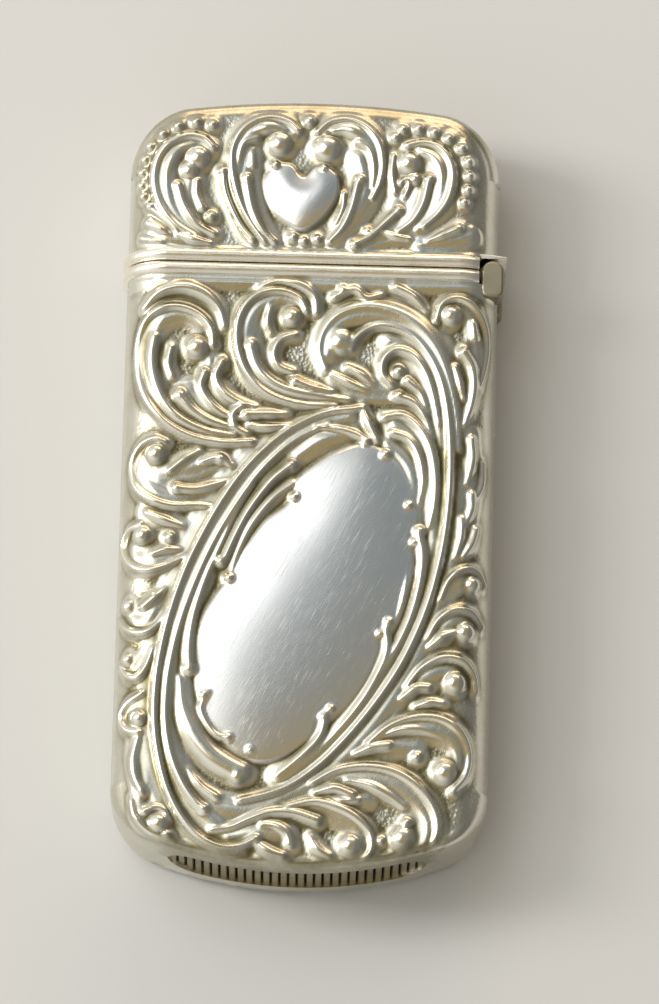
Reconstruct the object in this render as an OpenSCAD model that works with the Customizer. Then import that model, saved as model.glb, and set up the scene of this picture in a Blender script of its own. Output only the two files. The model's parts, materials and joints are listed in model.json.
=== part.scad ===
// Silver vesta case: a pocket match safe that lies on its back, with its lid at +Y and its hinge at +X.
// +Z points out of the front face. The origin is the middle of the back, on the surface it lies on.
// Lengths are in millimetres.

/* [Case] */
// Width over the side walls
case_w = 30.5; // [27:0.1:34]
// Length from the base to the top of the lid
case_l = 65.4; // [58:0.1:72]
// Thickness over the ground of the front and back faces
case_t = 8.6; // [7.8:0.1:10]
// Thickness of the silver sheet
wall = 0.45; // [0.35:0.05:0.6]
// Rounding of the two long sides, front to back
side_r = 3.2; // [2.6:0.1:3.6]

/* [Outline] */
// Radius of the curved base
base_arc_r = 34; // [28:1:60]
// Radius of the corners at the base
base_corner_r = 5.2; // [4:0.1:6.5]
// Radius of the curved top of the lid
lid_arc_r = 74; // [50:1:100]
// Radius of the corners at the top of the lid
lid_corner_r = 5.6; // [4.4:0.1:6.2]

/* [Raised work] */
// Height of the raised panels over the ground
boss_h = 0.5; // [0.3:0.05:0.8]
// Length of the pointed oval panel
panel_l = 29; // [22:0.5:32]
// Width of the pointed oval panel
panel_w = 14.6; // [10:0.2:17]
// Lean of the oval panel towards the hinge side
panel_lean = 17; // [0:1:24]
// Distance of the oval panel's middle from the base
panel_up = 23; // [20:0.5:26]
// Width of the heart on the lid
heart_w = 6.5; // [5:0.1:8]
// Distance of the heart's middle from the hinge-side centre line, away from the hinge
heart_off = 1.2; // [0:0.1:3]
// Distance of the heart's middle below the top of the lid
heart_down = 8.8; // [7.4:0.1:9]
// Height of the scrolls over the ground
scroll_h = 0.42; // [0.3:0.01:0.48]
// Rounding of the scrolls' tops, seen along them
scroll_r = 0.6; // [0.5:0.02:0.68]
// Rounding of the eyes in the scrolls
eye_r = 0.95; // [0.7:0.05:1.05]
// Depth of the flat that wear has left on an eye's crown
eye_flat = 0.03; // [0.01:0.01:0.06]

/* [Lid and rims] */
// Height of the lid over the parting
lid_h = 14.4; // [13.8:0.1:16]
// Gap between the two rims when the lid is shut
parting_gap = 0.08; // [0.04:0.01:0.15]
// Height of each half-round rim
rim_h = 1.1; // [0.9:0.05:1.4]
// How far a rim stands proud of the walls
rim_proud = 0.42; // [0.25:0.01:0.45]
// Thickness of the collar that the lid closes over
collar_t = 0.35; // [0.25:0.05:0.5]
// Height of the collar above the parting
collar_up = 2; // [1:0.1:3]
// Depth of the collar below the parting
collar_down = 4; // [2.5:0.1:6]
// Clearance between the collar and the lid
collar_gap = 0.16; // [0.14:0.01:0.25]
// Film of solder behind the collar
solder = 0.02; // [0.01:0.01:0.05]

/* [Hinge] */
// Distance of the hinge axis inside the side wall's outer face
hinge_inset = 0.5; // [0.4:0.05:0.85]
// Radius of the hinge knuckles
knuckle_r = 0.95; // [0.85:0.05:1.05]
// Length of the lid's middle knuckle
knuckle_len = 2.6; // [2.2:0.1:3.4]
// Side play between two knuckles
knuckle_play = 0.06; // [0.04:0.01:0.12]
// Clearance round the knuckles
hinge_gap = 0.15; // [0.1:0.01:0.25]
// Depth of the body's hinge lugs below the axis
lug_drop = 2.2; // [1.8:0.1:4]
// Radius of the hinge pin
pin_r = 0.42; // [0.3:0.01:0.55]
// Radial clearance of the pin in the lid's knuckle
pin_play = 0.03; // [0.02:0.01:0.06]
// Radial clearance of the pin in the body's lugs
pin_seat = 0.01; // [0.01:0.005:0.02]
// Thickness of the lid's stop tab
tab_t = 0.35; // [0.25:0.05:0.5]
// Reach of the stop tab past the hinge axis
tab_reach = 1.15; // [1.1:0.05:1.4]

/* [Spring] */
// Thickness of the steel spring strip
spring_t = 0.35; // [0.25:0.05:0.45]
// Length of the spring below the parting
spring_l = 15; // [11:0.5:20]
// Length of the spring's riveted foot
spring_foot = 3.6; // [3:0.1:5]
// Length of the spring's straight tip
spring_tip = 1.4; // [1:0.1:2]
// Gap between the spring's tip and the knuckle
spring_gap = 0.1; // [0.05:0.01:0.2]
// Gap between the strip's edges and the rounding of the side
spring_edge = 0.1; // [0.05:0.05:0.3]
// Radius of the spring rivet's shank
rivet_r = 0.4; // [0.3:0.05:0.5]
// Radius of the rivet's head
rivet_head_r = 0.75; // [0.6:0.05:0.9]
// Thickness of the rivet's head
rivet_head_t = 0.3; // [0.2:0.05:0.4]

/* [Striker] */
// Width of the serrated striker in the base
striker_w = 20.8; // [14:0.2:21.2]
// Height of the striker, front to back
striker_h = 4.6; // [4:0.1:6.6]
// Thickness of the striker plate
striker_t = 0.75; // [0.6:0.05:1]
// Depth of the striker inside the edge of the base
striker_sink = 0.25; // [0.15:0.05:0.4]
// Distance between two serrations
tooth_pitch = 0.7; // [0.5:0.05:1]
// Depth of a serration
tooth_depth = 0.3; // [0.2:0.05:0.4]

/* [Hidden] */
$fn = 96;
silver = [0.80, 0.77, 0.70];
gilt = [0.80, 0.66, 0.38];
steel = [0.46, 0.47, 0.50];
// How far a cutter runs past what it cuts
past = 1;
// How far the corner arcs stand past the end arcs, so that the two cross and don't only touch
corner_lap = 0.02;
base_y = -case_l / 2;
top_y = case_l / 2;
part_y = top_y - lid_h;
mid_z = case_t / 2 + boss_h;
half_w = case_w / 2;
half_t = case_t / 2;
// Where the sheet ends and its rim starts, below and above the parting
body_end_y = part_y - parting_gap / 2 - rim_h;
lid_end_y = part_y + parting_gap / 2 + rim_h;
hinge_x = half_w - hinge_inset;
hinge_clear = knuckle_r + hinge_gap;
// The rims and the collar stop short of the hinge here
rim_end_x = hinge_x - hinge_clear;
hinge_len = case_t - 2 * wall - 2 * hinge_gap;
lug_len = (hinge_len - knuckle_len) / 2 - knuckle_play;
// Half height of the cuts for the hinge, which run out through both faces
cut_z = half_t + past;
tab_y = part_y + hinge_clear;
rim_r = (pow(rim_h / 2, 2) + pow(rim_proud, 2)) / (2 * rim_proud);
spring_w = 2 * (half_t - side_r) - 2 * spring_edge;
inner_x = half_w - wall;
rivet_y = part_y - spring_l + spring_foot / 2;
striker_r = base_arc_r - striker_sink;
body_l = part_y - base_y;
// Arcs of the scrolls, each by three points along it, and the eyes: across as shares of half the width,
// and along as shares of the body's length from the base, or of the lid's height from its top
BODY_SCROLL_SHARES = [
    // Two ribs left of the oval panel, and the curl in the lower left corner
    [[0.07, 0.74], [-0.54, 0.545], [-0.76, 0.275]],
    [[-0.63, 0.26], [-0.52, 0.185], [-0.32, 0.143]],
    [[-0.75, 0.22], [-0.65, 0.1], [-0.35, 0.04]],
    // Rib right of the panel and its tail under it
    [[0.74, 0.79], [0.72, 0.52], [0.33, 0.247]],
    [[0.21, 0.2], [-0.04, 0.135], [-0.29, 0.105]],
    // Three scrolls along the mouth, from the left, and one at the left side
    [[-0.54, 0.886], [-0.79, 0.824], [-0.52, 0.714]],
    [[-0.05, 0.925], [-0.39, 0.878], [-0.14, 0.773]],
    [[0.06, 0.863], [0.3, 0.925], [0.66, 0.859]],
    [[-0.81, 0.655], [-0.75, 0.608], [-0.58, 0.592]],
    // Four scrolls down the lower right
    [[0.58, 0.306], [0.68, 0.337], [0.8, 0.343]],
    [[0.39, 0.214], [0.6, 0.247], [0.8, 0.22]],
    [[0.26, 0.163], [0.56, 0.15], [0.72, 0.083]],
    [[0.04, 0.104], [0.24, 0.092], [0.38, 0.043]]
];
BODY_EYE_SHARES = [
    [-0.6, 0.835], [-0.14, 0.89], [0.21, 0.867], [0.76, 0.914], [-0.68, 0.647],
    [0.78, 0.302], [0.74, 0.169], [0.55, 0.059], [0.22, 0.045], [-0.54, 0.067]
];
LID_SCROLL_SHARES = [
    [[-0.59, 0.277], [-0.81, 0.5], [-0.66, 0.778]],
    [[-0.16, 0.166], [-0.43, 0.361], [-0.34, 0.764]],
    [[0.08, 0.166], [0.35, 0.389], [0.21, 0.764]],
    [[0.5, 0.285], [0.73, 0.486], [0.59, 0.75]]
];
LID_EYE_SHARES = [[-0.63, 0.444], [-0.21, 0.285], [0.07, 0.292], [0.52, 0.444]];

// Distance of the corner centres from the centre of an end's arc, and their height above that end
function corner_away(arc_r, corner_r) = arc_r - corner_r + corner_lap;
function corner_y(arc_r, corner_r) =
    arc_r - sqrt(pow(corner_away(arc_r, corner_r), 2) - pow(half_w - corner_r, 2));

// Outline of one closed end, drawn in by inset, with its arc's middle at the origin and its open end at +Y
module end_plan(inset, arc_r, corner_r, length) {
    cx = half_w - corner_r;
    cy = corner_y(arc_r, corner_r);
    lean = asin(cx / corner_away(arc_r, corner_r));
    far = (arc_r + past) / cos(lean);
    translate([-half_w + inset, cy]) square([case_w - 2 * inset, length - cy]);
    for (side = [-1, 1]) translate([side * cx, cy]) circle(corner_r - inset);
    intersection() {
        translate([0, arc_r]) circle(arc_r - inset);
        polygon([
            [-cx, cy], [cx, cy],
            [far * sin(lean), arc_r - far * cos(lean)], [-far * sin(lean), arc_r - far * cos(lean)]
        ]);
    }
}

// Cross-section of the case, front half and back half together, drawn in by inset
module section(inset) {
    square([case_w - 2 * inset, case_t - 2 * side_r], center = true);
    square([case_w - 2 * side_r, case_t - 2 * inset], center = true);
    for (sx = [-1, 1], sz = [-1, 1])
        translate([sx * (half_w - side_r), sz * (half_t - side_r)]) circle(side_r - inset);
}

// Bar along Y with a cross-section drawn in X and Z, from y0 to y1
module along_y(y0, y1) {
    translate([0, y1, mid_z]) rotate([90, 0, 0]) linear_extrude(y1 - y0) children();
}

// Block from the seam to above the front face, or below it from the back face
module half_space(front) {
    size = 4 * case_l;
    translate([-size / 2, -size / 2, front ? mid_z : mid_z - size]) cube(size);
}

// Solid inside of an outline, drawn in by inset, between y0 and y1
module filled(inset, y0, y1) {
    intersection() {
        along_y(y0, y1) section(inset);
        translate([0, 0, mid_z - case_t]) linear_extrude(2 * case_t) children();
    }
}

// Plan of the body and of the lid, drawn in by inset and running past their open ends by extra
module body_plan(inset, extra) {
    translate([0, base_y]) end_plan(inset, base_arc_r, base_corner_r, body_end_y - base_y + extra);
}

module lid_plan(inset, extra) {
    translate([0, top_y]) mirror([0, 1])
        end_plan(inset, lid_arc_r, lid_corner_r, top_y - lid_end_y + extra);
}

// Hollow half of the body or of the lid
module body_half(front) {
    intersection() {
        difference() {
            filled(0, base_y - past, body_end_y) body_plan(0, past);
            filled(wall, base_y - past, body_end_y + past) body_plan(wall, 2 * past);
            striker_window();
        }
        half_space(front);
    }
}

module lid_half(front) {
    intersection() {
        difference() {
            filled(0, lid_end_y, top_y + past) lid_plan(0, past);
            filled(wall, lid_end_y - past, top_y + past) lid_plan(wall, 2 * past);
        }
        half_space(front);
    }
}

// Space in the base that the striker plate fills
module striker_window() {
    depth = corner_y(base_arc_r, base_corner_r);
    translate([-striker_w / 2, base_y - past, mid_z - striker_h / 2])
        cube([striker_w, depth + past, striker_h]);
}

// Places in the tables of scrolls, in millimetres
function body_point(p) = [p.x * half_w, base_y + p.y * body_l];
function lid_point(p) = [p.x * half_w, top_y - p.y * lid_h];

// Twice the area between three points, which is more than 0 where they turn to the left
function turn_of(p) = (p[1] - p[0]).x * (p[2] - p[0]).y - (p[1] - p[0]).y * (p[2] - p[0]).x;

// Centre of the circle through three points
function centre_of(p) =
    let (a = p[1] - p[0], b = p[2] - p[0])
    p[0] + [b.y * (a * a) - a.y * (b * b), a.x * (b * b) - b.x * (a * a)] / (2 * turn_of(p));

function bearing(v) = atan2(v.y, v.x);

// Puts raised work on the front face, or turned over on the back face
module on_face(front) {
    translate([0, 0, mid_z]) rotate([0, front ? 0 : 180, 0]) translate([0, 0, half_t]) children();
}

// Raised panel with a flat top, sunk half into the sheet
module panel() {
    translate([0, 0, -wall / 2]) linear_extrude(wall / 2 + boss_h) children();
}

// Round top of a scroll or an eye, seen along it
module round_top(r) {
    intersection() {
        translate([0, scroll_h - r]) circle(r);
        translate([-r, -wall / 2]) square([2 * r, wall / 2 + scroll_h]);
    }
}

// Raised rib along the arc through three points
module scroll(p) {
    centre = centre_of(p);
    ends = turn_of(p) > 0 ? [p[0], p[2]] : [p[2], p[0]];
    from = bearing(ends[0] - centre);
    sweep = (bearing(ends[1] - centre) - from + 360) % 360;
    translate(centre) rotate(from) rotate_extrude(angle = sweep)
        translate([norm(p[0] - centre), 0]) round_top(scroll_r);
}

module eye(p) {
    translate(p) rotate_extrude() intersection() {
        round_top(eye_r);
        translate([0, -wall]) square([eye_r, wall + scroll_h - eye_flat]);
    }
}

// Pointed oval panel, between two arcs
module oval_panel() {
    arc_r = (pow(panel_w / 2, 2) + pow(panel_l / 2, 2)) / panel_w;
    translate([0, base_y + panel_up]) rotate(-panel_lean) intersection() {
        translate([panel_w / 2 - arc_r, 0]) circle(arc_r);
        translate([arc_r - panel_w / 2, 0]) circle(arc_r);
    }
}

// Heart of two round lobes on a square stood on its corner
module heart_panel() {
    lobe_r = heart_w / (2 + sqrt(2));
    translate([-heart_off, top_y - heart_down]) rotate(45) {
        translate([-lobe_r, -lobe_r]) square(2 * lobe_r);
        translate([0, lobe_r]) circle(lobe_r);
        translate([lobe_r, 0]) circle(lobe_r);
    }
}

// Ring of half-round section round the case, flush inside, cut away at the hinge; its top is at y1
module rim_profile() {
    intersection() {
        translate([-wall, 0]) square([wall + rim_proud, rim_h]);
        union() {
            translate([-wall, 0]) square([wall, rim_h]);
            translate([rim_proud - rim_r, rim_h / 2]) circle(rim_r);
        }
    }
}

module rim_ring(y1) {
    run_x = half_w - side_r;
    run_z = half_t - side_r;
    intersection() {
        translate([0, y1, mid_z]) rotate([90, 0, 0]) {
            for (sz = [0, 1]) mirror([0, sz, 0])
                translate([-run_x, half_t, 0]) rotate([90, 0, 90]) linear_extrude(2 * run_x) rim_profile();
            translate([-half_w, -run_z, 0]) rotate([90, 0, 180]) linear_extrude(2 * run_z) rim_profile();
            for (sx = [0, 1], sz = [0, 1]) mirror([sx, 0, 0]) mirror([0, sz, 0])
                translate([run_x, run_z, 0]) rotate_extrude(angle = 90) translate([side_r, 0]) rim_profile();
        }
        translate([-case_l, y1 - case_l, mid_z - case_l]) cube([case_l + rim_end_x, 2 * case_l, 2 * case_l]);
    }
}

// Length of the hinge between two heights, measured from the case's middle, along the hinge axis
module at_hinge(z0, z1) {
    translate([hinge_x, part_y, mid_z + z0]) linear_extrude(z1 - z0) children();
}

module lug_outline() {
    circle(knuckle_r);
    translate([-knuckle_r, -lug_drop]) square([2 * knuckle_r, lug_drop]);
}

// Both lugs and the room that the lid's knuckle turns in, cut from the body's sheet
module hinge_pocket() {
    at_hinge(-cut_z, cut_z) {
        lug_outline();
        circle(hinge_clear);
    }
}

// One lug on the body, in front of the lid's knuckle or behind it
module hinge_lug(front) {
    z0 = knuckle_len / 2 + knuckle_play;
    color(silver) translate([0, 0, front ? 0 : 2 * mid_z]) mirror([0, 0, front ? 0 : 1]) at_hinge(z0, z0 + lug_len)
        difference() {
            lug_outline();
            circle(pin_r + pin_seat);
        }
}

module tab_block(span) {
    translate([rim_end_x, tab_y, mid_z - span / 2]) cube([hinge_clear + tab_reach, tab_t, span]);
}

// Shank of the spring rivet with its own radius
module rivet_shank(r, x0, x1) {
    translate([x0, rivet_y, mid_z]) rotate([0, 90, 0]) cylinder(r = r, h = x1 - x0);
}

module body_shell(front) {
    color(silver) difference() {
        union() {
            body_half(front);
            on_face(front) {
                panel() oval_panel();
                for (p = BODY_SCROLL_SHARES) scroll([for (q = p) body_point(q)]);
                for (q = BODY_EYE_SHARES) eye(body_point(q));
            }
        }
        hinge_pocket();
        rivet_shank(rivet_r + solder, hinge_x - side_r, half_w + past);
    }
}

module lid_shell(front) {
    color(silver) difference() {
        union() {
            lid_half(front);
            on_face(front) {
                panel() heart_panel();
                for (p = LID_SCROLL_SHARES) scroll([for (q = p) lid_point(q)]);
                for (q = LID_EYE_SHARES) eye(lid_point(q));
            }
        }
        tab_block(2 * cut_z);
        at_hinge(-cut_z, cut_z) circle(hinge_clear);
    }
}

module body_front_shell() { body_shell(true); }

module body_back_shell() { body_shell(false); }

module lid_front_shell() { lid_shell(true); }

module lid_back_shell() { lid_shell(false); }

module body_rim() { color(silver) rim_ring(part_y - parting_gap / 2); }

module lid_rim() { color(silver) rim_ring(lid_end_y); }

// Sleeve soldered inside the body's mouth, stepped back where the lid slides over it
module mouth_collar() {
    inner = wall + collar_gap + collar_t;
    color(gilt) intersection() {
        union() {
            along_y(part_y - collar_down, part_y - parting_gap / 2) difference() {
                section(wall + solder);
                section(inner);
            }
            along_y(part_y - parting_gap / 2, part_y + collar_up) difference() {
                section(wall + collar_gap);
                section(inner);
            }
        }
        translate([-case_l, part_y - case_l, mid_z - case_l]) cube([case_l + rim_end_x, 2 * case_l, 2 * case_l]);
    }
}

// Curved plate with serrations from front to back
module striker_plate() {
    swing = asin(striker_w / 2 / striker_r);
    step = tooth_pitch / striker_r * 180 / PI;
    count = floor((swing - step) / step);
    color(silver) translate([0, base_y + base_arc_r, mid_z - striker_h / 2])
        linear_extrude(striker_h) intersection() {
            difference() {
                circle(striker_r);
                circle(striker_r - striker_t);
                for (i = [-count : count]) rotate(i * step) translate([0, -striker_r])
                    polygon([[-tooth_pitch / 2, -past / 2], [0, tooth_depth], [tooth_pitch / 2, -past / 2]]);
            }
            translate([-striker_w / 2, -base_arc_r - past]) square([striker_w, base_arc_r]);
        }
}

module hinge_lug_front() { hinge_lug(true); }

module hinge_lug_back() { hinge_lug(false); }

module hinge_pin() { color(steel) at_hinge(-hinge_len / 2, hinge_len / 2) circle(pin_r); }

// Middle knuckle, with a block that joins it to the stop tab
module lid_knuckle() {
    color(silver) at_hinge(-knuckle_len / 2, knuckle_len / 2) difference() {
        union() {
            circle(knuckle_r);
            translate([-knuckle_r, 0]) square([2 * knuckle_r, hinge_clear]);
        }
        circle(pin_r + pin_play);
    }
}

// Plate on the lid over the hinge, which meets the lugs when the lid is wide open
module lid_tab() { color(silver) tab_block(hinge_len); }

// Steel strip riveted to the side wall, which presses on the lid's knuckle
module lid_spring() {
    tip_x = hinge_x - knuckle_r - spring_gap;
    foot_y = part_y - spring_l;
    bend_y = foot_y + spring_foot;
    color(steel) difference() {
        translate([0, 0, mid_z - spring_w / 2]) linear_extrude(spring_w) polygon([
            [inner_x - spring_t, foot_y], [inner_x, foot_y], [inner_x, bend_y],
            [tip_x, part_y - spring_tip], [tip_x, part_y],
            [tip_x - spring_t, part_y], [tip_x - spring_t, part_y - spring_tip],
            [inner_x - spring_t, bend_y]
        ]);
        rivet_shank(rivet_r + solder, hinge_x - side_r, half_w + past);
    }
}

module spring_rivet() {
    head_x = inner_x - spring_t;
    color(steel) {
        rivet_shank(rivet_r, head_x - rivet_head_t, half_w);
        rivet_shank(rivet_head_r, head_x - rivet_head_t, head_x);
    }
}

body_front_shell();
body_back_shell();
body_rim();
mouth_collar();
striker_plate();
hinge_lug_front();
hinge_lug_back();
hinge_pin();
lid_spring();
spring_rivet();
lid_front_shell();
lid_back_shell();
lid_rim();
lid_knuckle();
lid_tab();
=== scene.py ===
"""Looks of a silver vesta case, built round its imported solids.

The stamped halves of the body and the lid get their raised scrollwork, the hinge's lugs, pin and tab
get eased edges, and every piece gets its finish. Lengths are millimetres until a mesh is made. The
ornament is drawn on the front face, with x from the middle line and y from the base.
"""

import json
import logging
import math
from collections.abc import Callable
from dataclasses import dataclass
from enum import Enum
from functools import partial

import bmesh
import bpy
import numpy as np
from mathutils import Matrix, Vector

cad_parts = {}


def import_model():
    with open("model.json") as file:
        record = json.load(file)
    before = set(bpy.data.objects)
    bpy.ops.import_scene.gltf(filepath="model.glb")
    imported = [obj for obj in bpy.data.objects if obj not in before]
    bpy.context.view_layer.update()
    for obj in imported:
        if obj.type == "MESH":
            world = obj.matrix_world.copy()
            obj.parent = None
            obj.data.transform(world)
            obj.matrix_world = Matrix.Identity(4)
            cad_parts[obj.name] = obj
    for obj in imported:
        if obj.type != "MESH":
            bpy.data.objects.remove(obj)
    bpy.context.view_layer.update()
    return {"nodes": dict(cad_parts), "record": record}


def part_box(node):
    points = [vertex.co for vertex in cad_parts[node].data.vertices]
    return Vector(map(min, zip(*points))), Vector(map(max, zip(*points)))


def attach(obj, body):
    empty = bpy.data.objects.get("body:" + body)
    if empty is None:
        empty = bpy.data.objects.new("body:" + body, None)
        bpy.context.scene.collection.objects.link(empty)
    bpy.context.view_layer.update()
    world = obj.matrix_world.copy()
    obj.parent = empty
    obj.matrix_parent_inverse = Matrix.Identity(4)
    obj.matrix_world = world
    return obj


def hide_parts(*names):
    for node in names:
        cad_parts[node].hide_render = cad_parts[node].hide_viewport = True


log = logging.getLogger("vesta_case")

MM = 0.001
# The photograph's size in pixels
IMAGE_W, IMAGE_H = 659, 1004
# Height of the struck ground under the plain sheet, and the height within which two forms run together
GROUND = -0.2
MELT = 0.08
# Lengths and areas this small count as nothing, and a vertex this close to the mouth lies on it
NOTHING = 1e-9
HARDLY = 1e-6
ON_MOUTH = 1e-4
# Whole range of a share
WHOLE = (0.0, 1.0)

Point = tuple[float, float]
Span = tuple[float, float]
Line = tuple[Point, ...]
Widths = tuple[float, float, float]
Colour = tuple[float, float, float, float]
Marks = dict[str, np.ndarray]
Socket = bpy.types.NodeSocket


class Slot(Enum):
    """Material slots of the record."""

    STAMPED = "stamped_silver"
    PLAIN = "plain_silver"
    GILT = "gilt_silver"
    STEEL = "spring_steel"


class Body(Enum):
    """Bodies of the frame."""

    CASE = "case"
    LID = "lid"


@dataclass(frozen=True)
class CaseSizes:
    """Main sizes of the solids, in millimetres, and the edge rounding that only the looks have."""

    width: float = 30.5
    length: float = 65.4
    thick: float = 8.6
    boss: float = 0.5
    wall: float = 0.45
    side_r: float = 3.2
    base_arc_r: float = 34.0
    base_corner_r: float = 5.2
    base_edge_r: float = 0.7
    lid_h: float = 14.4
    lid_arc_r: float = 74.0
    lid_corner_r: float = 5.6
    lid_edge_r: float = 1.4
    gap: float = 0.08
    rim_h: float = 1.1
    striker_w: float = 20.8
    striker_h: float = 4.6
    tooth_foot_r: float = 33.46
    tooth_tip_r: float = 33.72

    @property
    def half_w(self) -> float:
        """Half of the width."""
        return self.width / 2

    @property
    def half_t(self) -> float:
        """Half of the thickness over the ground of the faces."""
        return self.thick / 2

    @property
    def mid_z(self) -> float:
        """Height of the seam between the front and the back."""
        return self.half_t + self.boss

    @property
    def part_y(self) -> float:
        """Place of the parting between lid and body."""
        return self.length / 2 - self.lid_h


SIZES = CaseSizes()


@dataclass(frozen=True)
class Leaf:
    """Raised leaf, stem or scroll rim along a smooth line, with half widths at its start, middle and end."""

    line: Line
    widths: Widths
    height: float


@dataclass(frozen=True)
class Bead:
    """Round boss."""

    x: float
    y: float
    r: float
    height: float = 0.42


@dataclass(frozen=True)
class Panel:
    """Smooth domed panel: edge and crown heights, how far in the crown lies, and the rise across per mm."""

    outline: Line
    edge: float
    crown: float
    crown_in: float
    lean: float = 0.0


def bead_row(r: float, height: float, *places: Point) -> tuple[Bead, ...]:
    """Makes a row of equal beads.

    Args:
        r: Their radius.
        height: Their height.
        *places: Where they stand.

    Returns:
        The beads, in order.
    """
    return tuple(Bead(x, y, r, height) for x, y in places)


LID_LEAVES: tuple[Leaf, ...] = (
    # Left scroll
    Leaf(((-9.8, 53.2), (-11.4, 54.2), (-12.6, 55.7), (-13.2, 57.6), (-13.1, 59.4), (-12.3, 60.9),
        (-10.8, 61.8), (-9.4, 61.7), (-8.5, 60.9)), (0.3, 0.52, 0.42), 0.42),
    Leaf(((-12.2, 57.4), (-12.1, 59.2), (-11.3, 60.6), (-10.2, 61.1)), (0.3, 0.66, 0.4), 0.36),
    Leaf(((-8.2, 53.4), (-9.6, 54.2), (-10.7, 55.7), (-11.3, 57.5)), (0.3, 0.52, 0.5), 0.4),
    Leaf(((-9.7, 58.0), (-9.7, 56.8), (-9.2, 55.6)), (0.3, 0.36, 0.42), 0.34),
    # Leaves in the lower left corner
    Leaf(((-13.4, 55.6), (-12.4, 54.6), (-11.2, 53.5)), (0.3, 0.2, 0.2), 0.3),
    Leaf(((-13.6, 54.3), (-12.7, 53.8), (-11.7, 53.2)), (0.5, 0.45, 0.15), 0.36),
    Leaf(((-11.2, 53.3), (-10.0, 52.9), (-8.5, 52.6)), (0.25, 0.45, 0.2), 0.36),
    Leaf(((-14.2, 53.1), (-13.3, 52.8), (-12.4, 52.6)), (0.35, 0.3, 0.15), 0.28),
    # Stems left of the heart
    Leaf(((-7.6, 58.8), (-7.4, 57.2), (-6.8, 55.6), (-6.0, 54.1), (-5.0, 52.9)), (0.3, 0.28, 0.3), 0.36),
    Leaf(((-4.0, 52.8), (-5.2, 54.4), (-6.2, 56.4), (-6.8, 58.6), (-6.9, 60.6), (-6.3, 62.2), (-5.2, 63.2),
        (-3.8, 63.6), (-2.4, 63.3), (-1.5, 62.5)), (0.22, 0.4, 0.4), 0.42),
    Leaf(((-5.4, 62.0), (-4.6, 62.6), (-3.6, 62.8), (-2.7, 62.5)), (0.4, 0.72, 0.42), 0.42),
    Leaf(((-4.9, 61.8), (-5.9, 61.4), (-6.3, 60.2), (-6.3, 58.7)), (0.4, 0.4, 0.2), 0.34),
    Leaf(((-5.2, 60.9), (-5.2, 59.4)), (0.2, 0.3, 0.4), 0.28),
    Leaf(((-3.2, 52.8), (-4.2, 53.8), (-5.1, 55.5), (-5.6, 57.8)), (0.25, 0.42, 0.42), 0.4),
    # Scroll and stems right of the heart
    Leaf(((0.1, 62.5), (1.1, 63.4), (2.7, 63.6), (4.2, 62.9), (5.2, 61.5), (5.5, 59.8), (5.3, 58.2),
        (4.7, 56.8)), (0.3, 0.46, 0.25), 0.42),
    Leaf(((1.4, 62.6), (2.5, 62.8), (3.5, 62.4), (4.3, 61.5)), (0.42, 0.72, 0.4), 0.42),
    Leaf(((3.5, 61.7), (4.4, 61.0), (4.8, 59.4), (4.7, 57.6)), (0.4, 0.4, 0.2), 0.38),
    Leaf(((1.3, 53.0), (2.3, 54.2), (3.0, 55.8), (3.5, 58.1)), (0.22, 0.42, 0.42), 0.4),
    Leaf(((2.4, 57.2), (2.3, 55.9), (1.8, 54.6)), (0.24, 0.24, 0.15), 0.26),
    Leaf(((3.4, 52.8), (4.6, 53.5), (5.6, 54.5), (6.7, 55.6)), (0.36, 0.36, 0.42), 0.38),
    # Right scroll
    Leaf(((9.0, 54.5), (10.2, 55.7), (11.0, 57.1), (11.3, 58.8), (11.0, 60.3), (10.0, 61.5), (8.7, 61.8),
        (7.5, 61.5)), (0.3, 0.5, 0.3), 0.42),
    Leaf(((10.3, 57.6), (10.4, 59.2), (9.7, 60.5), (8.7, 61.0)), (0.3, 0.62, 0.4), 0.36),
    Leaf(((6.9, 54.0), (8.1, 55.0), (8.9, 56.5), (9.3, 58.4)), (0.22, 0.42, 0.45), 0.38),
    Leaf(((7.0, 58.2), (7.5, 58.6), (7.7, 58.0), (7.4, 57.1)), (0.25, 0.24, 0.2), 0.32),
    Leaf(((6.4, 60.6), (6.3, 59.0), (6.6, 57.4)), (0.25, 0.3, 0.2), 0.26),
    Leaf(((9.4, 53.3), (10.6, 53.8), (11.9, 54.4)), (0.2, 0.4, 0.5), 0.36),
    Leaf(((5.6, 54.0), (6.6, 53.6), (7.8, 53.4)), (0.2, 0.32, 0.2), 0.26),
)

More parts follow.
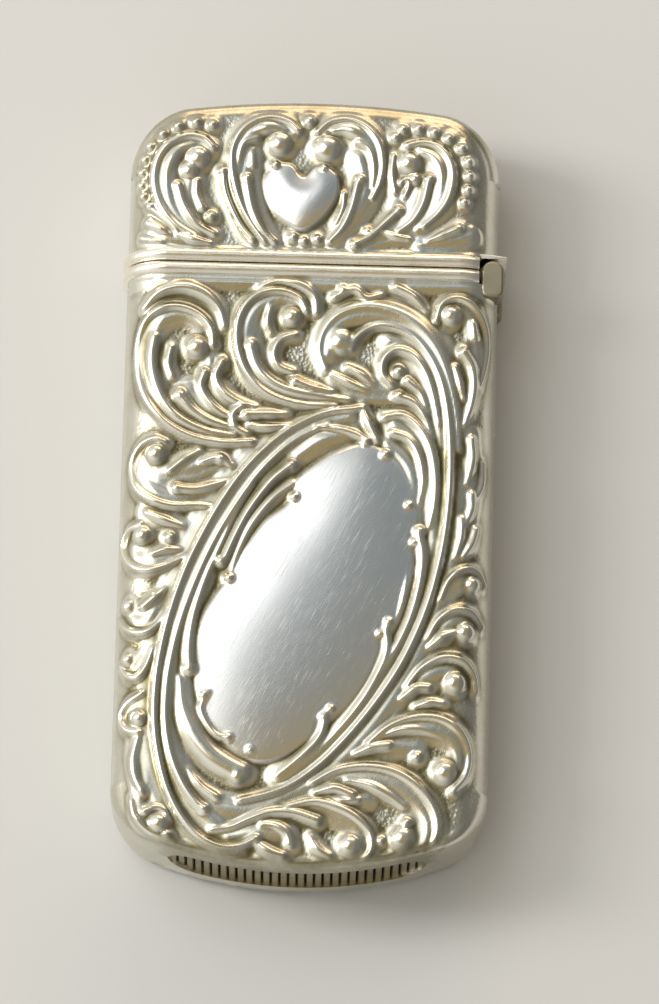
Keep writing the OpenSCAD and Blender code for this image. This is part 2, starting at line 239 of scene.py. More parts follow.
# Broad low forms under the leaves, which leave little of the matted ground bare
LID_SWELLS: tuple[Leaf, ...] = (
    Leaf(((-9.4, 53.4), (-11.4, 55.2), (-12.3, 57.6), (-11.9, 60.0), (-10.4, 61.2), (-9.0, 60.8)),
        (0.7, 1.1, 0.8), 0.2),
    Leaf(((-9.6, 54.6), (-10.4, 56.6), (-10.2, 58.6)), (0.7, 0.9, 0.7), 0.12),
    Leaf(((-6.4, 59.0), (-6.2, 61.2), (-5.0, 62.6), (-3.4, 62.9), (-1.9, 62.2)), (0.5, 1.0, 0.7), 0.3),
    Leaf(((-3.6, 53.0), (-5.0, 55.2), (-5.8, 58.0), (-5.6, 60.6)), (0.5, 0.9, 0.8), 0.14),
    Leaf(((0.8, 62.6), (2.4, 63.0), (4.0, 62.2), (4.8, 60.4), (4.9, 58.4)), (0.6, 1.0, 0.5), 0.3),
    Leaf(((1.8, 53.2), (3.2, 55.2), (4.1, 57.8), (3.6, 60.4)), (0.5, 0.9, 0.8), 0.14),
    Leaf(((8.6, 54.4), (10.0, 56.2), (10.6, 58.4), (10.0, 60.4), (8.6, 61.2)), (0.6, 1.1, 0.7), 0.2),
    Leaf(((6.8, 53.8), (8.0, 55.6), (8.6, 57.6)), (0.6, 0.9, 0.7), 0.12),
    Leaf(((-13.4, 53.6), (-11.4, 53.0), (-9.0, 52.6)), (0.6, 0.7, 0.5), 0.06),
    Leaf(((4.2, 53.0), (6.4, 54.4), (6.9, 56.4)), (0.5, 0.8, 0.5), 0.04),
    Leaf(((8.8, 53.0), (11.0, 53.4), (13.0, 53.8)), (0.4, 0.7, 0.6), 0.04),
)

LID_BEADS: tuple[Bead, ...] = (
    # Borders down the left and the right
    *bead_row(0.45, 0.34, (-8.6, 62.9), (-9.9, 63.1), (-11.4, 62.7), (-12.7, 62.0), (-13.7, 61.0),
              (-14.1, 59.9), (-14.3, 58.8), (-14.3, 57.7)), Bead(-14.1, 56.7, 0.42, 0.34),
    *bead_row(0.45, 0.34, (7.1, 62.9), (8.4, 63.0), (9.7, 62.7), (10.9, 62.2), (12.0, 61.4),
              (12.6, 60.2), (12.7, 59.0), (12.6, 57.8)), Bead(12.3, 56.7, 0.42, 0.34),
    # Eyes of the scrolls and ends of the stems
    Bead(-9.7, 60.0, 0.95, 0.5), Bead(-10.4, 58.9, 0.8, 0.38), Bead(-8.5, 54.9, 0.48),
    Bead(-13.5, 55.7, 0.45), Bead(-7.6, 58.9, 0.42), Bead(-3.0, 61.4, 1.0, 0.5), Bead(-5.6, 58.3, 0.48),
    Bead(-0.6, 63.4, 0.55), Bead(0.9, 61.1, 1.1, 0.5), Bead(3.7, 58.4, 0.52), Bead(6.9, 55.8, 0.48),
    Bead(3.4, 52.8, 0.42), Bead(7.7, 60.0, 0.98, 0.5), Bead(8.2, 58.6, 0.6, 0.36), Bead(9.4, 58.6, 0.48),
    Bead(6.5, 62.2, 0.5, 0.32), Bead(-1.7, 53.3, 0.42, 0.3), Bead(-0.8, 53.0, 0.36, 0.28),
    Bead(0.3, 53.2, 0.4, 0.3), Bead(4.4, 54.0, 0.35, 0.3), Bead(-3.3, 59.5, 0.4, 0.4),
    Bead(0.7, 59.3, 0.42, 0.42),
)

LID_PANELS: tuple[Panel, ...] = (
    Panel(((-1.0, 58.7), (-1.9, 59.7), (-3.2, 59.7), (-4.2, 58.6), (-4.2, 57.0), (-3.4, 55.3), (-2.1, 54.2),
        (-1.0, 53.8), (0.2, 54.3), (1.4, 55.6), (2.1, 57.2), (2.0, 58.7), (1.0, 59.6), (-0.2, 59.5)),
        0.08, 0.42, 3.0, 0.045),
)

BODY_LEAVES: tuple[Leaf, ...] = (
    # Ledge under the rim
    Leaf(((-15.0, 49.3), (0.0, 49.3), (15.0, 49.3)), (0.3, 0.3, 0.3), 0.04),
    # Upper left scroll
    Leaf(((-13.8, 46.9), (-12.6, 48.2), (-10.7, 48.8), (-8.9, 48.3), (-7.6, 47.0), (-7.1, 45.4)),
        (0.3, 0.58, 0.25), 0.36),
    Leaf(((-8.0, 43.8), (-8.2, 45.2), (-9.2, 46.4), (-10.6, 47.0), (-12.1, 46.9), (-13.4, 46.0),
        (-14.0, 44.4), (-14.1, 42.6), (-13.8, 40.5), (-13.0, 38.6), (-11.7, 37.1), (-9.7, 36.0),
        (-7.2, 35.5), (-4.6, 35.6)), (0.3, 0.42, 0.25), 0.42),
    Leaf(((-12.8, 44.4), (-13.0, 42.6), (-12.7, 40.7), (-11.9, 38.9), (-10.6, 37.5), (-8.4, 36.5),
        (-6.0, 36.1)), (0.5, 0.52, 0.2), 0.38),
    Leaf(((-10.6, 39.4), (-9.6, 38.3), (-8.2, 37.4), (-6.2, 36.8)), (0.62, 0.45, 0.2), 0.42),
    Leaf(((-8.6, 41.4), (-8.9, 40.3), (-8.2, 39.0), (-7.0, 38.0), (-5.6, 37.6)), (0.4, 0.36, 0.2), 0.36),
    Leaf(((-7.2, 42.4), (-7.7, 41.2), (-7.2, 40.0), (-6.0, 39.1), (-4.4, 38.6)), (0.36, 0.36, 0.2), 0.36),
    Leaf(((-11.4, 43.6), (-11.6, 42.2), (-11.2, 41.0)), (0.25, 0.32, 0.25), 0.24),
    # Upper middle scroll
    Leaf(((0.4, 46.8), (0.2, 48.2), (-1.0, 49.2), (-2.8, 49.5), (-4.6, 48.8)), (0.3, 0.5, 0.2), 0.34),
    Leaf(((-0.4, 46.9), (-1.0, 48.0), (-2.3, 48.6), (-3.8, 48.5), (-5.1, 47.7), (-5.9, 46.3), (-6.1, 44.6),
        (-5.8, 42.9), (-5.1, 41.4), (-3.9, 40.1), (-2.3, 39.3), (-0.2, 38.9), (2.2, 38.9)),
        (0.3, 0.42, 0.2), 0.42),
    Leaf(((-4.9, 44.0), (-4.6, 42.6), (-3.8, 41.3), (-2.5, 40.4), (-0.8, 39.9), (1.4, 39.6), (3.2, 39.4)),
        (0.55, 0.5, 0.22), 0.38),
    Leaf(((-1.2, 40.9), (0.2, 40.4), (1.8, 40.1)), (0.42, 0.36, 0.2), 0.36),
    Leaf(((-1.3, 44.9), (-2.5, 44.4), (-3.0, 43.3), (-2.6, 42.2), (-1.4, 41.7)), (0.25, 0.32, 0.25), 0.28),
    Leaf(((-3.4, 47.2), (-3.6, 45.9), (-3.2, 44.9)), (0.3, 0.36, 0.2), 0.26),
    Leaf(((-5.4, 38.7), (-6.2, 38.0), (-6.0, 36.9), (-5.0, 36.3)), (0.36, 0.3, 0.2), 0.34),
    Leaf(((-5.1, 37.9), (-3.6, 38.0), (-1.8, 38.1)), (0.5, 0.4, 0.15), 0.36),
    Leaf(((-4.9, 37.1), (-3.4, 36.9), (-1.6, 37.1)), (0.25, 0.36, 0.2), 0.32),
    # Large scroll and the long rib that grows from it
    Leaf(((1.3, 41.9), (0.7, 43.6), (1.1, 45.4), (2.4, 46.8), (4.5, 47.4), (6.8, 47.0), (8.8, 45.8),
        (10.3, 44.0), (11.3, 41.6), (12.0, 38.6), (12.3, 35.4)), (0.35, 0.75, 0.22), 0.42),
    Leaf(((3.3, 43.8), (3.8, 44.9), (5.1, 45.7), (6.7, 45.7), (8.3, 45.0), (9.6, 43.5), (10.6, 41.5),
        (11.2, 39.1), (11.5, 36.4), (11.6, 33.6), (11.5, 30.6), (11.2, 27.6), (10.7, 24.9), (10.1, 22.5),
        (9.2, 19.9), (8.0, 17.2), (6.6, 14.8), (5.0, 12.5), (3.4, 10.5), (1.6, 8.6), (-0.6, 6.9),
        (-2.6, 6.0), (-4.8, 5.4)), (0.3, 0.42, 0.25), 0.48),
    Leaf(((1.8, 48.2), (3.4, 48.9), (4.4, 48.2), (5.6, 48.5)), (0.3, 0.4, 0.25), 0.32),
    Leaf(((6.8, 49.2), (8.2, 48.5), (9.5, 47.2)), (0.4, 0.38, 0.15), 0.34),
    Leaf(((6.7, 40.8), (5.9, 41.7), (6.0, 43.0), (7.0, 43.8), (8.3, 43.4), (9.4, 42.0), (10.1, 40.0),
        (10.6, 37.5)), (0.3, 0.4, 0.2), 0.36),
    Leaf(((7.1, 39.8), (8.4, 39.4), (9.5, 38.0), (10.2, 36.2)), (0.4, 0.36, 0.15), 0.34),
    Leaf(((7.9, 41.2), (9.0, 40.2), (9.8, 38.4)), (0.4, 0.3, 0.15), 0.32),
    Leaf(((3.0, 42.2), (4.2, 41.6), (5.2, 40.8)), (0.3, 0.36, 0.2), 0.3),
    Leaf(((1.8, 41.6), (3.2, 40.9), (4.6, 40.3)), (0.25, 0.36, 0.2), 0.3),
    # Upper right scroll and the leaves under it
    Leaf(((10.2, 46.4), (10.6, 47.8), (11.8, 48.4), (13.1, 47.9), (14.0, 46.6), (14.4, 44.8), (14.3, 42.8),
        (13.9, 41.0)), (0.3, 0.42, 0.2), 0.4),
    Leaf(((12.5, 43.8), (13.2, 42.6), (13.4, 41.0), (13.2, 39.2), (12.7, 37.5)), (0.45, 0.45, 0.2), 0.36),
    Leaf(((11.8, 42.5), (12.2, 41.2), (12.6, 39.7)), (0.3, 0.36, 0.2), 0.32),
    Leaf(((13.2, 46.3), (13.4, 45.0)), (0.36, 0.4, 0.4), 0.34),
    Leaf(((13.3, 36.4), (13.4, 34.6), (13.0, 32.5)), (0.4, 0.45, 0.2), 0.34),
    Leaf(((14.3, 34.6), (14.2, 32.6), (13.6, 31.0)), (0.3, 0.4, 0.2), 0.28),
    Leaf(((13.4, 31.7), (13.4, 30.4), (12.8, 28.8)), (0.4, 0.4, 0.2), 0.32),
    Leaf(((12.6, 29.6), (12.6, 28.0), (12.2, 26.3)), (0.25, 0.32, 0.2), 0.3),
    Leaf(((13.8, 28.8), (13.5, 27.6), (12.8, 26.3)), (0.4, 0.4, 0.2), 0.32),
    # Scrolls down the right edge
    Leaf(((11.0, 22.6), (11.7, 24.3), (12.9, 25.3), (14.0, 25.2), (14.6, 24.2)), (0.22, 0.36, 0.3), 0.36),
    Leaf(((10.1, 19.4), (10.9, 20.9), (12.2, 21.8), (13.6, 21.7), (14.5, 20.7)), (0.22, 0.38, 0.3), 0.36),
    Leaf(((10.2, 18.6), (11.3, 19.5), (12.2, 19.9)), (0.25, 0.5, 0.3), 0.34),
    Leaf(((8.4, 15.2), (9.6, 16.8), (11.2, 17.7), (12.8, 17.6), (13.8, 16.6), (14.1, 15.1)),
        (0.22, 0.42, 0.3), 0.4),
    Leaf(((8.0, 14.2), (9.2, 15.1), (10.2, 15.2)), (0.22, 0.48, 0.4), 0.36),
    Leaf(((9.2, 13.6), (10.4, 14.0), (11.4, 13.9)), (0.2, 0.36, 0.2), 0.26),
    # Three scrolls in the lower right corner
    Leaf(((5.4, 10.4), (7.1, 11.9), (9.2, 12.7), (11.3, 12.6), (12.9, 11.5), (13.6, 9.7), (13.3, 7.9),
        (12.4, 6.7)), (0.25, 0.46, 0.3), 0.42),
    Leaf(((6.2, 10.8), (7.9, 11.6), (9.8, 11.7), (11.6, 11.2)), (0.2, 0.42, 0.2), 0.34),
    Leaf(((4.4, 9.5), (5.8, 10.1), (7.1, 10.3)), (0.22, 0.42, 0.45), 0.36),
    Leaf(((1.0, 7.0), (2.9, 8.1), (5.2, 8.5), (7.4, 8.2), (9.2, 7.2), (10.6, 5.6), (11.2, 3.8), (10.8, 1.9),
        (9.6, 0.9)), (0.25, 0.48, 0.3), 0.42),
    Leaf(((3.8, 7.3), (5.6, 7.0), (7.2, 6.2), (8.5, 5.3)), (0.25, 0.5, 0.25), 0.38),
    Leaf(((-1.0, 5.0), (1.2, 5.5), (3.0, 5.1), (4.6, 4.3), (5.8, 3.0), (5.9, 1.5), (5.2, 0.6)),
        (0.25, 0.44, 0.25), 0.4),
    Leaf(((1.2, 6.2), (2.8, 6.6), (4.3, 6.1)), (0.22, 0.42, 0.42), 0.36),
    Leaf(((2.4, 5.9), (3.8, 5.6), (4.8, 5.7)), (0.15, 0.3, 0.3), 0.28),
    # Ribs left of the panel, which run round the lower left corner
    Leaf(((4.0, 38.7), (1.2, 38.2), (-1.5, 36.8), (-3.7, 34.9), (-5.6, 32.6), (-7.2, 30.0), (-8.6, 27.2),
        (-9.7, 24.6), (-10.7, 21.4), (-11.4, 18.2), (-11.8, 15.0), (-11.8, 11.8), (-11.4, 9.0),
        (-10.6, 6.2), (-9.4, 3.9), (-7.9, 2.3), (-6.2, 1.5), (-4.6, 1.6), (-3.3, 2.3)), (0.25, 0.38, 0.4),
        0.46),
    Leaf(((1.6, 37.3), (-1.0, 35.9), (-3.0, 34.1), (-4.8, 31.8), (-6.4, 29.1), (-7.7, 26.5), (-8.8, 23.8),
        (-9.8, 20.8), (-10.5, 17.8), (-10.9, 14.8), (-10.9, 11.8), (-10.4, 9.1), (-9.5, 6.9), (-8.5, 5.4),
        (-7.5, 4.5)), (0.2, 0.32, 0.38), 0.42),
    Leaf(((-4.4, 32.0), (-5.6, 29.8), (-6.8, 27.0), (-8.0, 24.0), (-8.9, 20.8), (-9.2, 18.2), (-9.1, 16.2)),
        (0.2, 0.36, 0.58), 0.42),
    Leaf(((-1.5, 33.6), (-3.0, 32.2), (-4.6, 29.9), (-5.6, 27.9), (-6.5, 25.7)), (0.42, 0.36, 0.42), 0.4),
    Leaf(((-1.1, 32.2), (-2.8, 30.8), (-4.4, 28.6), (-5.4, 26.4), (-6.0, 24.5)), (0.3, 0.42, 0.3), 0.22),
    Leaf(((-9.9, 15.6), (-9.5, 12.9), (-8.6, 10.9), (-7.3, 9.3), (-6.0, 8.4), (-4.8, 7.8)),
        (0.3, 1.0, 0.95), 0.46),
    Leaf(((-7.5, 14.4), (-8.1, 13.1), (-7.6, 11.8), (-6.8, 10.8), (-5.8, 10.5)), (0.25, 0.26, 0.3), 0.36),
    Leaf(((-9.0, 8.0), (-8.0, 6.6), (-6.6, 5.6)), (0.15, 0.36, 0.42), 0.3),
    # Leaves at the bottom, left of the middle
    Leaf(((-7.0, 2.9), (-5.4, 3.2), (-3.9, 3.9), (-2.2, 4.5), (-0.4, 4.5), (1.5, 3.9)), (0.25, 0.42, 0.5),
        0.38),
    Leaf(((-2.9, 3.5), (-1.8, 3.4), (-0.9, 2.8), (-0.6, 1.9)), (0.4, 0.55, 0.5), 0.32),
    Leaf(((-3.6, 2.2), (-2.4, 1.3), (-1.2, 0.9)), (0.4, 0.55, 0.45), 0.36),
    Leaf(((1.0, 2.6), (1.6, 1.6), (2.6, 1.0)), (0.25, 0.4, 0.3), 0.24),
    # Scrolls down the left edge
    Leaf(((-11.6, 35.4), (-12.6, 35.7), (-13.7, 35.1), (-14.3, 33.6), (-13.9, 31.7), (-12.7, 30.5),
        (-11.0, 30.0), (-8.9, 30.1), (-7.5, 30.0)), (0.25, 0.42, 0.2), 0.4),
    Leaf(((-10.7, 31.5), (-8.8, 31.5), (-6.0, 32.4)), (0.42, 0.36, 0.15), 0.34),
    Leaf(((-6.1, 33.5), (-7.2, 34.2), (-8.6, 33.8)), (0.2, 0.42, 0.3), 0.34),
    Leaf(((-11.2, 33.0), (-10.0, 34.0), (-8.9, 34.7)), (0.3, 0.36, 0.2), 0.3),
    Leaf(((-13.0, 29.4), (-11.6, 28.8), (-10.0, 28.3)), (0.3, 0.4, 0.2), 0.3),
    Leaf(((-13.4, 28.5), (-14.5, 28.0), (-14.8, 26.6), (-14.2, 25.2), (-13.0, 24.5), (-11.5, 24.8),
        (-9.6, 25.8)), (0.25, 0.38, 0.2), 0.38),
    Leaf(((-12.4, 25.9), (-11.2, 26.3), (-10.1, 26.3)), (0.25, 0.32, 0.15), 0.28),
    Leaf(((-15.0, 20.8), (-14.3, 19.7), (-13.1, 19.2), (-12.0, 19.7), (-11.2, 20.9)), (0.25, 0.38, 0.2),
        0.38),
    Leaf(((-13.0, 21.4), (-12.1, 22.2), (-11.2, 23.0)), (0.4, 0.42, 0.15), 0.32),
    Leaf(((-14.8, 16.8), (-14.2, 15.8), (-13.3, 15.5), (-12.6, 16.4), (-12.1, 18.0)), (0.25, 0.38, 0.2),
        0.38),
    Leaf(((-12.8, 14.2), (-14.0, 13.4), (-14.5, 12.3), (-14.0, 11.2), (-13.0, 10.9)), (0.25, 0.38, 0.3),
        0.38),
    Leaf(((-13.1, 10.4), (-13.4, 8.8), (-13.2, 7.2), (-12.6, 5.9)), (0.3, 0.46, 0.3), 0.36),
    Leaf(((-13.5, 5.4), (-13.2, 4.1), (-12.6, 3.1), (-11.8, 2.5), (-11.0, 2.2)), (0.2, 0.34, 0.25), 0.36),
    Leaf(((-12.3, 4.2), (-11.6, 4.7), (-10.8, 4.5), (-10.3, 3.7)), (0.3, 0.26, 0.2), 0.28),
    # Lobes of the frame right of the panel
    Leaf(((4.3, 38.9), (4.8, 37.6), (5.6, 36.0)), (0.2, 0.45, 0.36), 0.4),
    Leaf(((6.1, 38.0), (7.6, 38.2), (8.9, 37.3), (9.9, 35.6), (10.4, 33.2), (10.4, 30.8), (10.0, 28.8)),
        (0.3, 0.52, 0.3), 0.38),
    Leaf(((6.8, 36.7), (8.1, 36.2), (9.0, 34.8), (9.4, 32.8), (9.2, 30.6)), (0.36, 0.42, 0.2), 0.36),
    Leaf(((9.2, 28.0), (9.5, 26.2), (9.3, 23.8), (8.6, 21.0), (7.5, 18.4), (6.0, 15.8), (4.4, 13.4),
        (2.6, 11.2)), (0.5, 0.42, 0.15), 0.42),
    Leaf(((8.5, 25.8), (8.2, 23.6), (7.8, 21.6), (7.2, 19.8)), (0.15, 0.26, 0.15), 0.3),
    Leaf(((6.7, 20.0), (6.8, 18.2), (6.0, 16.0), (4.8, 13.8), (3.0, 11.4), (1.0, 9.2)), (0.45, 0.4, 0.15),
        0.4),
    Leaf(((2.0, 12.8), (1.6, 11.0), (0.3, 9.4), (-1.8, 7.6)), (0.42, 0.42, 0.2), 0.38),
    Leaf(((0.6, 37.0), (2.4, 36.9), (3.8, 36.5), (4.8, 35.9)), (0.2, 0.3, 0.3), 0.34),
)

BODY_SWELLS: tuple[Leaf, ...] = (
    Leaf(((-8.8, 45.6), (-10.6, 46.4), (-12.4, 45.8), (-13.4, 43.8), (-13.2, 41.2), (-12.2, 38.8),
        (-10.2, 37.0), (-7.4, 36.1)), (0.6, 1.1, 0.6), 0.14),
    Leaf(((-9.8, 39.8), (-8.2, 38.4), (-5.8, 37.6)), (0.9, 1.1, 0.6), 0.08),
    Leaf(((-8.2, 42.6), (-8.0, 40.6), (-6.6, 39.0), (-4.6, 38.2)), (0.5, 0.8, 0.5), 0.06),
    Leaf(((-0.9, 47.4), (-2.6, 48.0), (-4.4, 47.2), (-5.3, 45.2), (-5.0, 43.0), (-3.8, 41.0), (-1.4, 39.8),
        (1.6, 39.4)), (0.6, 1.0, 0.5), 0.14),
    Leaf(((1.4, 43.2), (1.6, 45.2), (3.2, 46.5), (5.2, 46.8), (7.4, 46.4), (9.3, 44.9), (10.6, 42.4),
        (11.4, 39.0), (11.8, 35.4)), (0.9, 1.3, 0.5), 0.3),
    Leaf(((6.4, 44.6), (8.2, 44.0), (9.6, 41.8), (10.4, 39.0), (10.9, 35.6)), (0.6, 1.0, 0.5), 0.14),
    Leaf(((2.2, 41.4), (4.4, 40.6), (6.6, 40.4)), (0.6, 0.9, 0.8), 0.0),
    Leaf(((7.0, 37.4), (8.8, 36.0), (9.9, 33.4), (10.3, 30.4), (10.4, 27.4)), (0.6, 1.2, 0.9), 0.16),
    Leaf(((10.4, 27.4), (9.8, 23.8), (8.6, 20.2), (6.8, 16.6), (4.4, 13.0), (1.8, 10.0), (-1.4, 7.6)),
        (0.9, 1.2, 0.9), 0.18),
    Leaf(((3.4, 38.0), (0.2, 37.1), (-2.4, 35.5), (-4.6, 33.2), (-6.6, 30.2), (-8.2, 26.8), (-9.4, 23.2),
        (-10.4, 19.4), (-10.9, 15.4), (-10.8, 11.8), (-10.0, 8.2), (-8.6, 5.4), (-6.6, 3.4)),
        (0.7, 1.4, 0.9), 0.18),
    Leaf(((-9.4, 16.4), (-9.4, 13.6), (-8.6, 11.2), (-7.2, 9.4), (-5.2, 8.2)), (0.7, 1.1, 0.9), 0.2),
    Leaf(((-5.0, 34.6), (-7.4, 31.2), (-9.2, 27.4), (-10.6, 23.2), (-11.7, 18.8), (-12.3, 13.8),
        (-12.1, 9.0), (-10.8, 4.8)), (0.5, 0.9, 0.5), 0.02),
    Leaf(((12.4, 33.0), (12.0, 27.0), (11.2, 23.2), (10.0, 19.6), (8.4, 16.2), (6.4, 12.8), (4.2, 10.0),
        (1.6, 7.4), (-1.6, 5.6)), (0.5, 0.9, 0.6), 0.04),
    Leaf(((-0.8, 34.6), (1.2, 36.0), (3.8, 36.6)), (0.6, 0.9, 0.7), 0.12),
    Leaf(((6.4, 35.8), (8.2, 33.8), (8.9, 31.0), (9.3, 28.6)), (0.6, 0.9, 0.6), 0.14),
    Leaf(((-8.6, 6.0), (-6.6, 5.0), (-4.4, 4.6), (-2.0, 5.2)), (0.7, 1.0, 0.7), 0.06),
    Leaf(((-5.6, 2.4), (-3.4, 2.8), (-1.2, 2.8)), (0.6, 0.9, 0.9), 0.1),
    Leaf(((11.0, 46.2), (12.0, 47.6), (13.4, 46.6), (13.8, 44.4), (13.4, 41.4), (12.8, 38.4)),
        (0.5, 0.9, 0.5), 0.1),
    Leaf(((13.4, 36.8), (13.6, 33.6), (13.2, 30.0), (12.8, 26.8)), (0.5, 0.8, 0.5), 0.06),
    Leaf(((-12.0, 35.0), (-13.4, 34.2), (-13.6, 32.4), (-12.4, 31.0), (-10.2, 30.7), (-7.6, 31.4)),
        (0.5, 0.9, 0.5), 0.08),
    Leaf(((-11.6, 33.0), (-9.8, 33.4), (-7.2, 33.8)), (0.7, 0.9, 0.5), 0.02),
    Leaf(((-13.8, 27.2), (-13.8, 25.8), (-12.4, 25.2), (-10.8, 25.8)), (0.6, 0.8, 0.5), 0.06),
    Leaf(((-13.2, 29.6), (-11.6, 29.0), (-9.8, 28.2)), (0.5, 0.7, 0.4), 0.02),
    Leaf(((-14.2, 20.8), (-13.2, 20.2), (-12.2, 21.0), (-11.4, 22.4)), (0.5, 0.8, 0.5), 0.06),
    Leaf(((-14.0, 16.4), (-13.2, 16.4), (-12.5, 17.8)), (0.5, 0.7, 0.4), 0.06),
    Leaf(((-13.4, 13.4), (-13.8, 12.2), (-13.3, 10.6), (-13.3, 8.4), (-12.8, 6.0)), (0.5, 0.7, 0.5), 0.08),
    Leaf(((11.6, 23.4), (12.8, 24.6), (13.9, 24.6)), (0.5, 0.8, 0.6), 0.06),
    Leaf(((10.6, 19.4), (12.0, 20.8), (13.6, 20.8)), (0.5, 0.9, 0.6), 0.06),
    Leaf(((8.8, 15.0), (10.4, 16.4), (12.6, 16.8)), (0.5, 1.0, 0.7), 0.08),
    Leaf(((6.2, 10.9), (8.4, 11.8), (10.8, 11.9), (12.6, 10.6), (13.0, 8.6)), (0.5, 1.0, 0.6), 0.18),
    Leaf(((5.0, 9.8), (7.2, 10.2), (9.2, 10.2)), (0.5, 0.8, 0.6), 0.06),
    Leaf(((2.4, 7.4), (5.0, 7.7), (7.4, 7.3), (9.3, 6.0), (10.4, 4.2), (10.3, 2.4)), (0.5, 1.0, 0.5), 0.16),
    Leaf(((0.2, 4.9), (2.4, 4.9), (4.2, 4.0), (5.2, 2.6), (5.2, 1.4)), (0.5, 0.9, 0.5), 0.14),
    Leaf(((1.4, 6.0), (3.4, 6.1), (5.4, 5.8)), (0.4, 0.7, 0.6), 0.04),
    Leaf(((-12.9, 4.4), (-12.2, 3.2), (-11.2, 2.9)), (0.5, 0.7, 0.5), 0.06),
)

BODY_BEADS: tuple[Bead, ...] = (
    Bead(-9.3, 43.6, 0.92, 0.5), Bead(-10.6, 39.4, 0.66), Bead(-8.6, 41.4, 0.42), Bead(-7.2, 42.4, 0.4),
    Bead(-1.6, 46.4, 0.8, 0.48), Bead(-4.9, 43.8, 0.6), Bead(-1.2, 40.9, 0.45), Bead(-5.1, 37.9, 0.5),
    Bead(2.4, 44.4, 1.15, 0.5), Bead(7.2, 41.9, 0.55), Bead(2.5, 48.9, 0.42, 0.34), Bead(7.3, 39.9, 0.42),
    Bead(11.4, 46.9, 0.85, 0.48), Bead(12.5, 43.7, 0.48), Bead(13.7, 24.1, 0.68, 0.42),
    Bead(13.2, 20.0, 0.8, 0.46), Bead(12.4, 15.7, 0.9, 0.48), Bead(11.7, 8.2, 0.95, 0.5),
    Bead(8.4, 2.6, 0.98, 0.5), Bead(4.2, 1.9, 0.9, 0.48), Bead(9.4, 9.4, 0.5, 0.3),
    Bead(6.7, 2.4, 0.32, 0.3), Bead(8.7, 3.9, 0.42, 0.32), Bead(-7.6, 4.6, 0.5),
    Bead(-9.1, 16.3, 0.66, 0.46), Bead(-5.0, 7.4, 0.7, 0.46), Bead(-5.8, 10.6, 0.4),
    Bead(-11.2, 3.4, 0.8, 0.46), Bead(-10.5, 2.4, 0.42, 0.32), Bead(-12.4, 34.4, 0.85, 0.48),
    Bead(-10.6, 31.5, 0.45), Bead(-7.1, 34.1, 0.45), Bead(-13.4, 27.5, 0.8, 0.46),
    Bead(-11.0, 27.3, 0.5, 0.36), Bead(-14.3, 21.6, 0.66, 0.42), Bead(-14.2, 17.1, 0.62, 0.42),
    Bead(-13.1, 12.1, 0.66, 0.44), Bead(-12.4, 4.3, 0.34, 0.3),
    # Beads at the cusps of the panel
    Bead(4.7, 35.9, 0.42), Bead(6.3, 34.8, 0.5), Bead(8.3, 30.5, 0.4), Bead(9.2, 28.3, 0.6, 0.46),
    Bead(8.8, 27.4, 0.42), Bead(6.9, 20.6, 0.5, 0.46), Bead(6.2, 19.6, 0.42), Bead(2.4, 13.2, 0.46, 0.44),
    Bead(1.7, 12.5, 0.36), Bead(-4.0, 9.6, 0.36), Bead(-6.1, 24.0, 0.45), Bead(-6.8, 25.4, 0.5, 0.44),
    Bead(-1.0, 31.0, 0.42), Bead(-1.3, 33.7, 0.5, 0.44), Bead(-7.9, 14.1, 0.36),
)

BODY_PANELS: tuple[Panel, ...] = (
    Panel(((5.0, 35.8), (7.3, 34.4), (8.7, 31.8), (9.2, 28.6), (9.1, 25.0), (8.2, 21.2), (6.9, 18.2),
        (5.2, 15.2), (3.2, 12.6), (0.8, 10.4), (-1.6, 8.9), (-3.4, 8.5), (-5.2, 9.2), (-7.0, 11.0),
        (-8.4, 13.8), (-8.9, 17.2), (-8.4, 20.4), (-7.2, 22.8), (-6.1, 24.3), (-5.0, 26.6), (-3.4, 29.0),
        (-1.4, 30.8), (-0.9, 32.6), (0.6, 34.0), (2.6, 35.2)), 0.1, 0.46, 7.4),
)


def smooth_line(points: Line, closed: bool, step: float = 0.22, least: int = 3) -> np.ndarray:
    """Runs a smooth curve through some points.

    Args:
        points: The points in order.
        closed: Whether the curve returns to its first point.
        step: Distance between two samples, about.
        least: Samples between two points, at the least.

    Returns:
        The samples, one row each.
    """
    pts = np.array(points, float)
    if closed:
        pts = np.vstack([pts[-1], pts, pts[0], pts[1]])
    else:
        pts = np.vstack([2 * pts[0] - pts[1], pts, 2 * pts[-1] - pts[-2]])
    rows = []
    for a, b, c, d in zip(pts[:-3], pts[1:-2], pts[2:-1], pts[3:]):
        count = max(least, int(np.linalg.norm(c - b) / step))
        t = np.linspace(0, 1, count, endpoint=False)[:, None]
        rows.append(0.5 * (2 * b + (c - a) * t + (2 * a - 5 * b + 4 * c - d) * t ** 2
                           + (3 * b - a - 3 * c + d) * t ** 3))
    if not closed:
        rows.append(pts[-2:-1])
    return np.vstack(rows)


def near_line(x: np.ndarray, y: np.ndarray, line: np.ndarray) -> tuple[np.ndarray, np.ndarray]:
    """Finds how far points lie from a line of samples.

    Args:
        x: Places across.
        y: Places along.
        line: The samples of the line.

    Returns:
        The distance of each point, and the share of the line's length at its nearest place.
    """
    a, b = line[:-1], line[1:]
    way = b - a
    long = np.maximum((way ** 2).sum(1), NOTHING)
    done = np.concatenate([[0], np.cumsum(np.sqrt(long))])
    dx, dy = x[:, None] - a[:, 0], y[:, None] - a[:, 1]
    t = np.clip((dx * way[:, 0] + dy * way[:, 1]) / long, 0, 1)
    away = (dx - t * way[:, 0]) ** 2 + (dy - t * way[:, 1]) ** 2
    best = away.argmin(1)
    rows = np.arange(len(x))
    share = (done[best] + t[rows, best] * np.sqrt(long[best])) / done[-1]
    return np.sqrt(away[rows, best]), share


